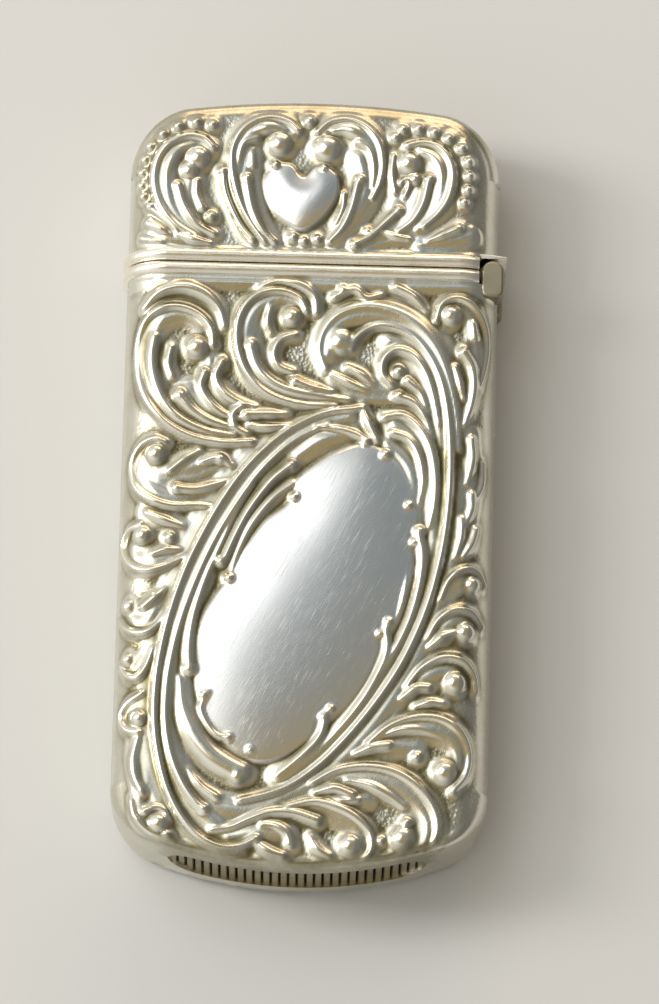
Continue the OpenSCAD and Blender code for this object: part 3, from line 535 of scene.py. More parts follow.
def run_lengths(points: np.ndarray) -> np.ndarray:
    """Measures the way along a row of points.

    Args:
        points: The points, one row each.

    Returns:
        The length from the first point to each of them.
    """
    return np.concatenate([[0], np.cumsum(np.linalg.norm(np.diff(points, axis=0), axis=1))])


def ease(t: np.ndarray) -> np.ndarray:
    """Smooth step from 0 to 1."""
    t = np.clip(t, 0, 1)
    return t * t * (3 - 2 * t)


@dataclass(frozen=True)
class EndForm:
    """Closed end of the body or the lid: its outline in front view and the rounding of its edges."""

    end_y: float
    inward: int
    arc_r: float
    corner_r: float
    edge_r: float
    mouth_y: float
    sizes: CaseSizes = SIZES
    corner_steps: int = 60
    arc_steps: int = 240

    @property
    def corner(self) -> tuple[float, float, float]:
        """Corner centre across and in from the end, and the angle at which the corner joins the end's arc."""
        cx = self.sizes.half_w - self.corner_r
        away = self.arc_r - self.corner_r
        return cx, self.arc_r - math.sqrt(away ** 2 - cx ** 2), math.asin(cx / away)

    def at_end(self, y: np.ndarray | float) -> np.ndarray | bool:
        """Whether places along lie within the corners' height of the closed end."""
        return np.abs(y - self.end_y) < self.corner[1]

    def foot(self, x: np.ndarray, y: np.ndarray) -> tuple[np.ndarray, np.ndarray, np.ndarray, np.ndarray]:
        """Measures places on the face from the outline.

        Args:
            x: Places across.
            y: Places along.

        Returns:
            Depth inside the outline, the outline's outward direction in x and y, and the edge rounding there.
        """
        cx, cv, lean = self.corner
        ax, v = np.abs(x), (y - self.end_y) * self.inward
        wx, wv = ax - cx, v - cv
        hyp = np.hypot(ax, v - self.arc_r)
        side, end = self.sizes.half_w - ax, self.arc_r - hyp
        on_end = end < side
        depth = np.where(on_end, end, side)
        nx = np.where(on_end, ax / hyp, 1.0)
        nv = np.where(on_end, (v - self.arc_r) / hyp, 0.0)
        share = on_end.astype(float)
        in_corner = (wv <= 0) & (wx * math.cos(lean) + wv * math.sin(lean) >= 0)
        rho = np.maximum(np.hypot(wx, wv), HARDLY)
        depth = np.where(in_corner, self.corner_r - rho, depth)
        nx = np.where(in_corner, wx / rho, nx)
        nv = np.where(in_corner, wv / rho, nv)
        turn = np.arctan2(-wv, np.maximum(wx, HARDLY)) / (math.pi / 2 - lean)
        share = np.where(in_corner, ease(turn), share)
        edge = self.sizes.side_r + (self.edge_r - self.sizes.side_r) * share
        return np.maximum(depth, 0), nx * np.sign(x), nv * self.inward, edge

    @staticmethod
    def edge_angle(depth: np.ndarray, edge: np.ndarray) -> np.ndarray:
        """Angle up the rounded edge at some depths inside the outline."""
        return np.arccos(np.clip((edge - depth) / edge, 0, 1))

    def unroll(self, x: np.ndarray, y: np.ndarray,
               below: np.ndarray | float = 0.0) -> tuple[np.ndarray, np.ndarray]:
        """Lays the rounded edges flat, so that ornament keeps its width as it runs over them.

        Args:
            x: Places across, in front view.
            y: Places along, in front view.
            below: Distance down the upright wall under the rounding.

        Returns:
            Places across and along on the flattened sheet.
        """
        depth, nx, ny, edge = self.foot(x, y)
        extra = edge * (math.pi / 2 - self.edge_angle(depth, edge)) - np.maximum(edge - depth, 0) + below
        return x + nx * extra, y + ny * extra

    def left_corner(self, angles: np.ndarray) -> np.ndarray:
        """Places on the left corner at some angles up from the side, one row each."""
        cx, cv, _ = self.corner
        return np.stack([-cx - self.corner_r * np.cos(angles), cv - self.corner_r * np.sin(angles)], 1)

    def borders(self) -> tuple[np.ndarray, np.ndarray]:
        """Draws the outline, with depth measured from the closed end.

        Returns:
            The end, from the middle of the left corner to that of the right one, and the left side, from the
            middle of the corner to the mouth.
        """
        lean = self.corner[2]
        full = math.pi / 2 - lean
        left = self.left_corner(np.linspace(full / 2, full, self.corner_steps))
        b = np.linspace(-lean, lean, self.arc_steps)[1:-1]
        middle = np.stack([self.arc_r * np.sin(b), self.arc_r - self.arc_r * np.cos(b)], 1)
        right = left[::-1] * (-1, 1)
        curve = self.left_corner(np.linspace(full / 2, 0, self.corner_steps))
        mouth = [-self.sizes.half_w, (self.mouth_y - self.end_y) * self.inward]
        return np.vstack([left, middle, right]), np.vstack([curve, mouth])

    def spread(self, t: np.ndarray, s: np.ndarray) -> tuple[np.ndarray, np.ndarray]:
        """Spreads a square grid over the outline.

        Args:
            t: Grid places across, 0 to 1.
            s: Grid places from the closed end to the mouth, 0 to 1.

        Returns:
            Places across and along, in front view.
        """
        bottom, left = self.borders()
        half_w, r, e = self.sizes.half_w, self.sizes.side_r, self.edge_r
        flat = half_w - r
        a = (2 * t - 1) * (flat + r * math.pi / 2)
        turn = np.clip((np.abs(a) - flat) / r, 0, math.pi / 2)
        u = (np.sign(a) * (np.minimum(np.abs(a), flat) + r * np.sin(turn)) + half_w) / (2 * half_w)
        end_steps, side_steps = run_lengths(bottom), run_lengths(left)
        long = side_steps[-1]
        b = s * (long + e * (math.pi / 2 - 1))
        v = np.where(b < e * math.pi / 2, e * (1 - np.cos(np.minimum(b / e, math.pi / 2))),
                     b - e * (math.pi / 2 - 1)) / long
        bx, bv = (np.interp(u * end_steps[-1], end_steps, bottom[:, k]) for k in (0, 1))
        lx, lv = (np.interp(v * long, side_steps, left[:, k]) for k in (0, 1))
        tx, tv = (2 * u - 1) * half_w, left[-1, 1]
        c0x, c0v = bottom[0]
        x = (1 - v) * bx + v * tx + (1 - 2 * u) * lx - (1 - 2 * u) * ((1 - v) * c0x - v * half_w)
        depth = (1 - v) * bv + v * tv + lv - ((1 - v) * c0v + v * tv)
        return x, self.end_y + self.inward * depth


@dataclass(frozen=True)
class Relief:
    """Raised work of one face, in millimetres over the sheet."""

    leaves: tuple[Leaf, ...]
    swells: tuple[Leaf, ...]
    beads: tuple[Bead, ...]
    panels: tuple[Panel, ...]
    form: EndForm
    fullness: float = 1.12
    skirt: float = 0.6
    skirt_h: float = 0.15
    thin_share: float = 0.4
    leaf_power: float = 0.75
    bead_power: float = 0.6
    panel_ramp: float = 0.28
    panel_step: float = 0.12
    panel_slack: float = 0.02
    least_far: float = 1e-3

    def place(self, points: np.ndarray) -> np.ndarray:
        """Moves points drawn in front view, from the base, onto the flattened sheet."""
        x, y = self.form.unroll(points[:, 0], points[:, 1] - self.form.sizes.length / 2)
        return np.stack([x, y], 1)

    def heights(self, x: np.ndarray, y: np.ndarray) -> tuple[np.ndarray, np.ndarray]:
        """Works out the raised work.

        Args:
            x: Places across on the flattened sheet.
            y: Places along on the flattened sheet.

        Returns:
            Height over the sheet at each place, and whether it is part of a plain panel.
        """
        high = np.full(len(x), GROUND)
        for panel in self.panels:
            line = self.place(smooth_line(panel.outline, True))
            self.raise_to(high, x, y, line, 0.0, partial(self.panel_height, line=line, panel=panel))
        panels = high.copy()
        for leaf in self.swells + self.leaves:
            line = self.place(smooth_line(leaf.line, False))
            reach = max(leaf.widths) * self.fullness + self.skirt
            self.raise_to(high, x, y, line, reach, partial(self.leaf_height, line=line, leaf=leaf))
        for bead in self.beads:
            spot = self.place(np.array([[bead.x, bead.y]]))
            reach = bead.r * self.fullness + self.skirt
            self.raise_to(high, x, y, spot, reach, partial(self.bead_height, spot=spot, bead=bead))
        return high, (panels > GROUND + MELT) & (high < panels + self.panel_slack)

    @staticmethod
    def raise_to(high: np.ndarray, x: np.ndarray, y: np.ndarray, line: np.ndarray, reach: float,
                 form: Callable[[np.ndarray, np.ndarray], np.ndarray]) -> None:
        """Raises the places near a line to a form's height, where that is more than what is there.

        Args:
            high: Heights so far, which are changed.
            x: Places across.
            y: Places along.
            line: Samples of the form's line.
            reach: How far the form spreads from them.
            form: Gives the form's height at some places.
        """
        lo, hi = line.min(0) - reach, line.max(0) + reach
        near = np.nonzero((x > lo[0]) & (x < hi[0]) & (y > lo[1]) & (y < hi[1]))[0]
        if len(near):
            old, new = high[near], form(x[near], y[near])
            meet = np.maximum(MELT - np.abs(new - old), 0) ** 2 / (4 * MELT)
            high[near] = np.maximum(old, new) + np.where(np.minimum(old, new) > GROUND + MELT / 2, meet, 0)

    def leaf_height(self, x: np.ndarray, y: np.ndarray, line: np.ndarray, leaf: Leaf) -> np.ndarray:
        """Shapes a leaf: round across, and lower where it is narrow.

        Args:
            x: Places across.
            y: Places along.
            line: Samples of the leaf's line.
            leaf: The leaf.

        Returns:
            Its height at each place.
        """
        away, t = near_line(x, y, line)
        w0, w1, w2 = (self.fullness * w for w in leaf.widths)
        w = np.where(t < 0.5, w0 + (w1 - w0) * ease(2 * t), w1 + (w2 - w1) * ease(2 * t - 1))
        tall = (leaf.height - GROUND) * (self.thin_share + (1 - self.thin_share) * w / max(w0, w1, w2))
        round_top = tall * np.maximum(1 - (away / w) ** 2, 0) ** self.leaf_power
        return GROUND + np.maximum(round_top, self.foot_height(away - w))

    def foot_height(self, away: np.ndarray) -> np.ndarray:
        """Height of the low slope with which a form runs into the ground."""
        return self.skirt_h * ease(1 - away / self.skirt)

    def bead_height(self, x: np.ndarray, y: np.ndarray, spot: np.ndarray, bead: Bead) -> np.ndarray:
        """Shapes a round boss.

        Args:
            x: Places across.
            y: Places along.
            spot: The boss's place on the flattened sheet.
            bead: The boss.

        Returns:
            Its height at each place.
        """
        r = bead.r * self.fullness
        away = np.hypot(x - spot[0, 0], y - spot[0, 1])
        dome = (bead.height - GROUND) * np.maximum(1 - (away / r) ** 2, 0) ** self.bead_power
        return GROUND + np.maximum(dome, self.foot_height(away - r))

    def panel_height(self, x: np.ndarray, y: np.ndarray, line: np.ndarray, panel: Panel) -> np.ndarray:
        """Shapes a domed panel, which rises quickly at its edge and gently to its crown.

        Args:
            x: Places across.
            y: Places along.
            line: Samples of the panel's outline.
            panel: The panel.

        Returns:
            Its height at each place.
        """
        ring = np.vstack([line, line[:1]])
        away, _ = near_line(x, y, ring)
        ax, ay, bx, by = ring[:-1, 0], ring[:-1, 1], ring[1:, 0], ring[1:, 1]
        spans = (ay > y[:, None]) != (by > y[:, None])
        flat = np.where(np.abs(by - ay) < NOTHING, NOTHING, by - ay)
        cross = ax + (y[:, None] - ay) * (bx - ax) / flat
        inside = (spans & (x[:, None] < cross)).sum(1) % 2 == 1
        # A sum over the whole outline gives a dome without a ridge down its middle
        long = np.hypot(bx - ax, by - ay)
        far = np.hypot(x[:, None] - (ax + bx) / 2, y[:, None] - (ay + by) / 2)
        inner = np.sqrt(2 / (long / np.maximum(far, self.least_far) ** 3).sum(1))
        dome = 1 - (1 - np.clip(inner / panel.crown_in, 0, 1)) ** 2
        top = panel.edge + (panel.crown - panel.edge) * dome + panel.lean * (x - line[:, 0].mean())
        ramp = ease(away / self.panel_ramp + self.panel_step)
        return np.where(inside, GROUND + (top - GROUND) * ramp, GROUND)


def to_mesh_object(name: str, bm: bmesh.types.BMesh) -> bpy.types.Object:
    """Turns a bmesh drawn in millimetres into an object in metres at the origin.

    Args:
        name: Name of the piece.
        bm: The mesh, which is freed.

    Returns:
        The linked object.
    """
    mesh = bpy.data.meshes.new(name)
    bmesh.ops.scale(bm, vec=(MM, MM, MM), verts=bm.verts)
    bm.to_mesh(mesh)
    bm.free()
    obj = bpy.data.objects.new(name, mesh)
    bpy.context.scene.collection.objects.link(obj)
    return obj


def declare(piece: bpy.types.Object, node: str, body: Body) -> None:
    """Says what a finished piece rides on and which solid it stands for.

    Args:
        piece: The piece.
        node: The node that it replaces.
        body: The body that carries it.
    """
    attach(piece, body.value)
    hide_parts(node)
    log.info("%s: %d faces", piece.name, len(piece.data.polygons))


def srgb(code: str) -> Colour:
    """Turns an sRGB hex colour into linear light.

    Args:
        code: The colour, as #RRGGBB.

    Returns:
        Linear red, green, blue and alpha.
    """
    parts = [int(code[i:i + 2], 16) / 255 for i in (1, 3, 5)]
    linear = [c / 12.92 if c <= 0.04045 else ((c + 0.055) / 1.055) ** 2.4 for c in parts]
    return linear[0], linear[1], linear[2], 1.0


class NodeDrawing:
    """Nodes of one material or of the world, added one after another."""

    def __init__(self, owner: bpy.types.Material | bpy.types.World) -> None:
        """Starts with an empty tree.

        Args:
            owner: What the nodes are for.
        """
        owner.use_nodes = True
        self.tree = owner.node_tree
        self.tree.nodes.clear()

    def add(self, kind: str, settings: dict | None = None, inputs: dict | None = None) -> bpy.types.Node:
        """Adds one node.

        Args:
            kind: Blender's name for the node type, without ShaderNode before it.
            settings: Node attributes and their values.
            inputs: Sockets by name or number, each with a value or with the output that feeds it.

        Returns:
            The new node.
        """
        node = self.tree.nodes.new("ShaderNode" + kind)
        for name, value in (settings or {}).items():
            setattr(node, name, value)
        for key, value in (inputs or {}).items():
            if isinstance(value, Socket):
                self.tree.links.new(value, node.inputs[key])
            else:
                node.inputs[key].default_value = value
        return node

    def mix(self, share: Socket, first: Socket | Colour, second: Socket | Colour) -> Socket:
        """Mixes two colours.

        Args:
            share: Share of the second colour.
            first: The first colour.
            second: The second colour.

        Returns:
            The mixed colour.
        """
        return self.add("Mix", {"data_type": "RGBA"}, {0: share, 6: first, 7: second}).outputs[2]

    def work_out(self, operation: str, *values: Socket | float, clamp: bool = False) -> Socket:
        """Works out one operation on numbers.

        Args:
            operation: Blender's name for it.
            *values: What goes in, in order.
            clamp: Whether the result is kept from 0 to 1.

        Returns:
            The result.
        """
        settings = {"operation": operation, "use_clamp": clamp}
        return self.add("Math", settings, dict(enumerate(values))).outputs[0]

    def remap(self, value: Socket, span: Span, start: Socket | float = 0.0, end: Socket | float = 1.0,
              soft: bool = False) -> Socket:
        """Maps a range of values onto another one.

        Args:
            value: The value.
            span: Where its range begins and ends.
            start: Result at the beginning.
            end: Result at the end.
            soft: Whether the change begins and ends gently.

        Returns:
            The result.
        """
        settings = {"interpolation_type": "SMOOTHSTEP" if soft else "LINEAR"}
        inputs = {0: value, 1: span[0], 2: span[1], 3: start, 4: end}
        return self.add("MapRange", settings, inputs).outputs[0]

    def noise(self, place: Socket, size_mm: float, detail: float, roughness: float = 0.5) -> Socket:
        """Draws a cloudy pattern.

        Args:
            place: Where it is read.
            size_mm: Size of its clouds.
            detail: Steps of finer clouds in it.
            roughness: How strong the finer clouds are.

        Returns:
            The pattern, about 0 to 1.
        """
        inputs = {"Vector": place, "Scale": 1 / (size_mm * MM), "Detail": detail, "Roughness": roughness}
        return self.add("TexNoise", None, inputs).outputs["Fac"]

    def bump(self, height: Socket, strength: float, deep_mm: float, under: Socket | None = None) -> Socket:
        """Turns a pattern into small dents.

        Args:
            height: The pattern.
            strength: How much of it is used.
            deep_mm: Depth of a full step of it.
            under: Dents that it lies over.

        Returns:
            The direction of the dented surface.
        """
        inputs = {"Strength": strength, "Distance": deep_mm * MM, "Height": height}
        if under is not None:
            inputs["Normal"] = under
        return self.add("Bump", None, inputs).outputs[0]

    def surface(self, inputs: dict) -> None:
        """Ends a material with its shader.

        Args:
            inputs: The shader's sockets and what feeds them.
        """
        shader = self.add("BsdfPrincipled", None, inputs)
        self.add("OutputMaterial", None, {"Surface": shader.outputs[0]})


@dataclass(frozen=True)
class StampedSilver:
    """Die-struck sterling silver.

    It is warm and bright on the worn forms, with brown tarnish and punched matting between them; the same
    mark also paints shade on steep low sides and along some edges. A span says where an effect begins and
    where it is full.
    """

    panel: str = "#ECEBE8"
    raised: str = "#F0EFE8"
    cloudy: str = "#DCD8C4"
    tarnish: str = "#969073"
    dark_tone: str = "#524B35"
    polish_rough: float = 0.19
    panel_rough: float = 0.2
    ground_rough: float = 0.36
    cloud_mm: float = 3.0
    cloud_detail: float = 4.0
    cloud_grain: float = 0.6
    cloud_gain: float = 0.9
    cloud_least: float = 0.4
    film_span: Span = (0.1, 0.8)
    dark_tone_span: Span = (0.55, 1.0)
    dark_tone_most: float = 0.75
    mark_mm: float = 0.1
    mark_detail: float = 3.0
    mark_long: float = 18.0
    mark_slant: float = -28.0
    mark_span: Span = (0.52, 0.74)
    mark_rough: Span = (-0.01, 0.085)
    mark_deep_mm: float = 0.02
    mark_dent: float = 0.03
    dot_mm: float = 0.3
    dot_soft: float = 0.4
    dot_deep_mm: float = 0.08
    dot_dent: float = 0.7

    def material(self) -> bpy.types.Material:
        """Builds the material, which reads the piece's own marks for tarnish with painted shade, ground and
        plain panel.

        Returns:
            The material.
        """
        material = bpy.data.materials.new("struck_sterling_silver")
        draw = NodeDrawing(material)
        place = draw.add("TexCoord").outputs["Object"]
        tarnish_and_shade, ground, plain = (draw.add("Attribute", {"attribute_name": mark}).outputs["Fac"]
                                 for mark in ("tarnish_and_shade", "ground", "plain"))
        # Tarnish and painted shade, from one mark, lie in soft clouds, first as a thin film and then as a
        # near-black tone where the mark is strongest
        cloud = draw.noise(place, self.cloud_mm, self.cloud_detail, self.cloud_grain)
        uneven = draw.work_out("MULTIPLY_ADD", cloud, self.cloud_gain, self.cloud_least)
        darkness = draw.work_out("MULTIPLY", tarnish_and_shade, uneven, clamp=True)
        tone = draw.mix(cloud, srgb(self.raised), srgb(self.cloudy))
        tone = draw.mix(plain, tone, srgb(self.panel))
        colour = draw.mix(draw.remap(darkness, self.film_span), tone, srgb(self.tarnish))
        dark_share = draw.remap(darkness, self.dark_tone_span, 0.0, self.dark_tone_most)
        colour = draw.mix(dark_share, colour, srgb(self.dark_tone))
        # Fine slanting marks from polishing cloths, drawn coarser than real so that they show
        slant = draw.add("Mapping", {"vector_type": "TEXTURE"},
                         {"Vector": place, "Rotation": (0, 0, math.radians(self.mark_slant)),
                          "Scale": (1.0, self.mark_long, 1.0)}).outputs[0]
        marks = draw.remap(draw.noise(slant, self.mark_mm, self.mark_detail), self.mark_span)
        rough = draw.remap(plain, WHOLE, self.polish_rough, self.panel_rough)
        rough = draw.remap(darkness, WHOLE, rough, self.ground_rough)
        rough = draw.work_out("ADD", rough, draw.remap(marks, WHOLE, *self.mark_rough), clamp=True)
        # Punched dots of the matted ground, drawn coarser than real as well
        dots = draw.add("TexVoronoi", {"feature": "SMOOTH_F1"},
                        {"Vector": place, "Scale": 1 / (self.dot_mm * MM), "Smoothness": self.dot_soft})
        stipple = draw.work_out("MULTIPLY", dots.outputs["Distance"], ground)
        dents = draw.bump(stipple, self.dot_dent, self.dot_deep_mm)
        dents = draw.bump(marks, self.mark_dent, self.mark_deep_mm, dents)
        draw.surface({"Base Color": colour, "Metallic": 1.0, "Roughness": rough, "Normal": dents})
        return material


@dataclass(frozen=True)
class PlainMetal:
    """Drawn or sheet metal without ornament: soft wear marks, uneven tarnish, and one overall colour."""

    name: str
    colour: str
    tarnish: str
    rough: float
    grooved: bool = False
    cloud_mm: float = 2.5
    cloud_detail: float = 5.0
    cloud_grain: float = 0.62
    cloud_span: Span = (0.5, 0.78)
    cloud_most: float = 0.5
    mark_mm: float = 0.15
    mark_detail: float = 3.0
    mark_squeeze: float = 0.08
    mark_span: Span = (0.3, 0.75)
    mark_rough: Span = (-0.05, 0.1)
    mark_deep_mm: float = 0.02
    mark_dent: float = 0.12

    def material(self) -> bpy.types.Material:
        """Builds the material; on a grooved piece the grooves, which turn about the base's arc, get the
        tarnish colour as painted shade.

        Returns:
            The material.
        """
        material = bpy.data.materials.new(self.name)
        draw = NodeDrawing(material)
        place = draw.add("TexCoord").outputs["Object"]
        cloud = draw.noise(place, self.cloud_mm, self.cloud_detail, self.cloud_grain)
        share = draw.remap(cloud, self.cloud_span, 0.0, self.cloud_most)
        # Painted shade: the grooves take the tarnish colour, which gives way to the cloudy tarnish at the
        # teeth's tips
        if self.grooved:
            axis = (0.0, (SIZES.base_arc_r - SIZES.length / 2) * MM, 0.0)
            flat = draw.add("VectorMath", {"operation": "MULTIPLY"}, {0: place, 1: (1.0, 1.0, 0.0)})
            away = draw.add("VectorMath", {"operation": "DISTANCE"}, {0: flat.outputs[0], 1: axis})
            teeth = (SIZES.tooth_foot_r * MM, SIZES.tooth_tip_r * MM)
            share = draw.remap(away.outputs["Value"], teeth, 1.0, share)
        colour = draw.mix(share, srgb(self.colour), srgb(self.tarnish))
        # Fine wear marks across the piece, drawn coarser than real so that they show
        along = draw.add("Mapping", None, {"Vector": place, "Scale": (self.mark_squeeze, 1.0, 1.0)})
        marks = draw.noise(along.outputs[0], self.mark_mm, self.mark_detail)
        rough = draw.remap(marks, self.mark_span, *(self.rough + more for more in self.mark_rough))
        dents = draw.bump(marks, self.mark_dent, self.mark_deep_mm)
        draw.surface({"Base Color": colour, "Metallic": 1.0, "Roughness": rough, "Normal": dents})
        return material


# Warm soft shine of the rims, the knuckle and the tab
DRAWN_SILVER = PlainMetal("drawn_sterling_silver", "#FBF7EC", "#D6CCB0", 0.24)
# Pale gold seen in the open mouth
GILT_WASH = PlainMetal("gilt_wash_on_silver", "#E3C684", "#9A7C45", 0.28)
# Dark grey glint of the spring and the pin
BLUED_STEEL = PlainMetal("blued_spring_steel", "#6E7078", "#4A4038", 0.34)
# Dull teeth with black soot between them
# Dull grey-brown teeth, their colour partly painted shade, with near-black painted shade in the grooves
# between them
GROOVE_SHADED_SILVER = PlainMetal("groove_shaded_silver", "#A0967A", "#2A2416", 0.36, grooved=True)
# Flat grey-brown silver, darker than the other plain pieces, on the hinge lugs
DARKER_LUG_SILVER = PlainMetal("darker_lug_silver", "#A29C89", "#766F58", 0.4)
# Lighter rubbed head of the rivet
WORN_STEEL = PlainMetal("worn_bright_steel", "#C2BFB6", "#8E887C", 0.3)


@dataclass(frozen=True)
class Wear:
    """How a struck face is tarnished, and where shade is painted on it; lengths in millimetres, slopes as
    rise over run.
    """

    level_reach: int = 5
    full_dip: float = 0.13
    steep_from: float = 0.35
    steep_span: float = 0.8
    shade_top: float = 0.42
    shade_span: float = 0.5
    shade_least: float = 0.2
    ground_high: float = 0.08
    ground_span: float = 0.06
    ground_dirt: float = 0.3
    matting_in: float = 2.4
    seam_fade: float = 1.5
    mouth_share: float = 0.25
    mouth_fade: float = 0.5
    lip_edge: float = 0.1

    def hollows_and_steep_shade(self, grid: np.ndarray, cell: float) -> np.ndarray:
        """Finds the tarnish in hollows below the level round a place, and the painted shade on steep low
        sides.

        Args:
            grid: Heights on the grid.
            cell: Size of a grid cell.

        Returns:
            How dark each place stays.
        """
        pad, reach = self.level_reach + 1, self.level_reach
        level = np.pad(grid, pad, mode="edge")
        for axis in (0, 1):
            level = sum(np.roll(level, k, axis) for k in range(-reach, reach + 1)) / (2 * reach + 1)
        level = level[pad:-pad, pad:-pad]
        # Steep low sides get painted shade, the hollows below the level their tarnish
        rise, run = np.gradient(grid)
        steep_shade = np.clip((np.hypot(rise, run) / cell - self.steep_from) / self.steep_span, 0, 1)
        steep_shade = steep_shade * np.clip((self.shade_top - grid) / self.shade_span, self.shade_least, 1)
        return np.maximum(np.clip((level - grid) / self.full_dip, 0, 1), steep_shade)


@dataclass
class StampedPair:
    """Front and back half shells of the body or the lid, struck with the same die.

    Its grid has so many faces across and along, of about one cell's size. The relief runs out over the
    lip at the closed end; matting is the share of punched ground, and darkness scales the tarnish and the
    painted shade that go with it.
    """

    relief: Relief
    outer: bpy.types.Material
    inner: bpy.types.Material
    front_node: str
    back_node: str
    body: Body
    across: int
    along: int
    cell: float
    lip: float
    matting: float
    darkness: float
    inner_across: int = 56
    inner_coarser: int = 4
    wall_rows: int = 3
    sizes: CaseSizes = SIZES
    wear: Wear = Wear()

    def wall_end(self, x: float, y: float) -> float:
        """Finds the height at which the upright wall ends.

        Args:
            x: Place across.
            y: Place along.

        Returns:
            The height of the seam.
        """
        return self.sizes.mid_z

    def edge_shade(self, co: np.ndarray, depth: np.ndarray) -> tuple[np.ndarray, np.ndarray]:
        """Finds the painted shade along the outline.

        Args:
            co: Points on the plain sheet.
            depth: Their depth inside the outline.

        Returns:
            How dark each point is on the front, and on the back.
        """
        raise NotImplementedError

    def open_border(self, edges: list[bmesh.types.BMEdge]) -> list[bmesh.types.BMEdge]:
        """Picks the open edges that don't lie at the mouth.

        Args:
            edges: The edges to choose from.

        Returns:
            The chosen edges.
        """
        mouth = self.relief.form.mouth_y
        rim = [e for e in edges if e.is_boundary]
        return [e for e in rim if not all(abs(v.co.y - mouth) < ON_MOUTH for v in e.verts)]

    def sheet(self, across: int, along: int) -> tuple[bmesh.types.BMesh, np.ndarray]:
        """Lays a grid over the face and draws its edge down to the seam.

        Args:
            across: Faces across the sheet.
            along: Faces from the closed end to the mouth.

        Returns:
            The open sheet, and for each grid vertex its row and column.
        """
        form = self.relief.form
        bm = bmesh.new()
        bmesh.ops.create_grid(bm, x_segments=across, y_segments=along, size=1.0)
        flat = np.array([v.co[:2] for v in bm.verts])
        t, s = (flat[:, 0] + 1) / 2, (flat[:, 1] + 1) / 2
        cells = np.stack([np.rint(s * along), np.rint(t * across)], 1).astype(int)
        x, y = form.spread(t, s)
        depth, _, _, edge = form.foot(x, y)
        z = self.sizes.mid_z + self.sizes.half_t - edge + edge * np.sin(form.edge_angle(depth, edge))
        for vert, co in zip(bm.verts, np.stack([x, y, z], 1)):
            vert.co = co
        border = self.open_border(bm.edges)
        for left in range(self.wall_rows, 0, -1):
            grown = bmesh.ops.extrude_edge_only(bm, edges=border)["geom"]
            for vert in (g for g in grown if isinstance(g, bmesh.types.BMVert)):
                vert.co.z += (self.wall_end(vert.co.x, vert.co.y) - vert.co.z) / left
            border = self.open_border([g for g in grown if isinstance(g, bmesh.types.BMEdge)])
        return bm, cells

    def lie(self, co: np.ndarray) -> tuple[np.ndarray, np.ndarray, np.ndarray]:
        """Finds the sheet's outward direction and flattened place at some points of it.

        Args:
            co: Points on the plain sheet.

        Returns:
            Outward directions, places across, and places along on the flattened sheet.
        """
        form, sizes = self.relief.form, self.sizes
        depth, nx, ny, edge = form.foot(co[:, 0], co[:, 1])
        angle = form.edge_angle(depth, edge)
        below = np.maximum(sizes.mid_z + sizes.half_t - edge - co[:, 2], 0)
        x, y = form.unroll(co[:, 0], co[:, 1], below)
        out = np.stack([nx * np.cos(angle), ny * np.cos(angle), np.sin(angle)], 1)
        return out, x, y

    def strike(self, bm: bmesh.types.BMesh, cells: np.ndarray) -> tuple[Marks, Marks]:
        """Raises the ornament on the outer sheet.

        Args:
            bm: The plain outer sheet.
            cells: Row and column of its grid vertices.

        Returns:
            Marks of the front and of the back: for each vertex how dark its tarnish and painted shade are,
                and
            its share of matted ground and of plain panel.
        """
        form, wear = self.relief.form, self.wear
        co = np.array([v.co[:] for v in bm.verts])
        out, x, y = self.lie(co)
        high, plain = self.relief.heights(x, y)
        grid = np.zeros((self.along + 1, self.across + 1))
        rows, cols = cells.T
        grid[rows, cols] = high[:len(cells)]
        # One soft pass takes the sharpness of a fresh die off the edges
        soft = np.pad(grid, 1, mode="edge")
        soft = (soft[:-2] + 2 * soft[1:-1] + soft[2:]) / 4
        grid = (soft[:, :-2] + 2 * soft[:, 1:-1] + soft[:, 2:]) / 4
        high[:len(cells)] = grid[rows, cols]
        # Tarnish in the hollows and the matted ground, and painted shade on steep low sides
        tarnish_and_shade = np.zeros(len(co))
        tarnish_and_shade[:len(cells)] = wear.hollows_and_steep_shade(grid, self.cell)[rows, cols]
        ground = np.clip((GROUND + wear.ground_high - high) / wear.ground_span, 0, 1)
        tarnish_and_shade = self.darkness * np.clip(tarnish_and_shade + wear.ground_dirt * ground, 0, 1)
        depth = form.foot(co[:, 0], co[:, 1])[0]
        ground = self.matting * ground * ease(depth / wear.matting_in)
        # The relief runs out towards the seam, the mouth and the lip of the closed end
        at_mouth = ease(np.abs(co[:, 1] - form.mouth_y) / wear.mouth_fade)
        fade = ease((co[:, 2] - self.sizes.mid_z) / wear.seam_fade)
        fade = fade * (wear.mouth_share + (1 - wear.mouth_share) * at_mouth)
        fade *= np.where(form.at_end(co[:, 1]), ease((depth - wear.lip_edge) / self.lip), 1)
        for vert, place in zip(bm.verts, co + out * (high * fade)[:, None]):
            vert.co = place
        shared = {"ground": ground, "plain": plain.astype(float)}
        # Painted shade along the outline is added to the tarnish mark
        front, back = ({"tarnish_and_shade": np.maximum(tarnish_and_shade, dark), **shared} for dark in self.edge_shade(co, depth))
        return front, back

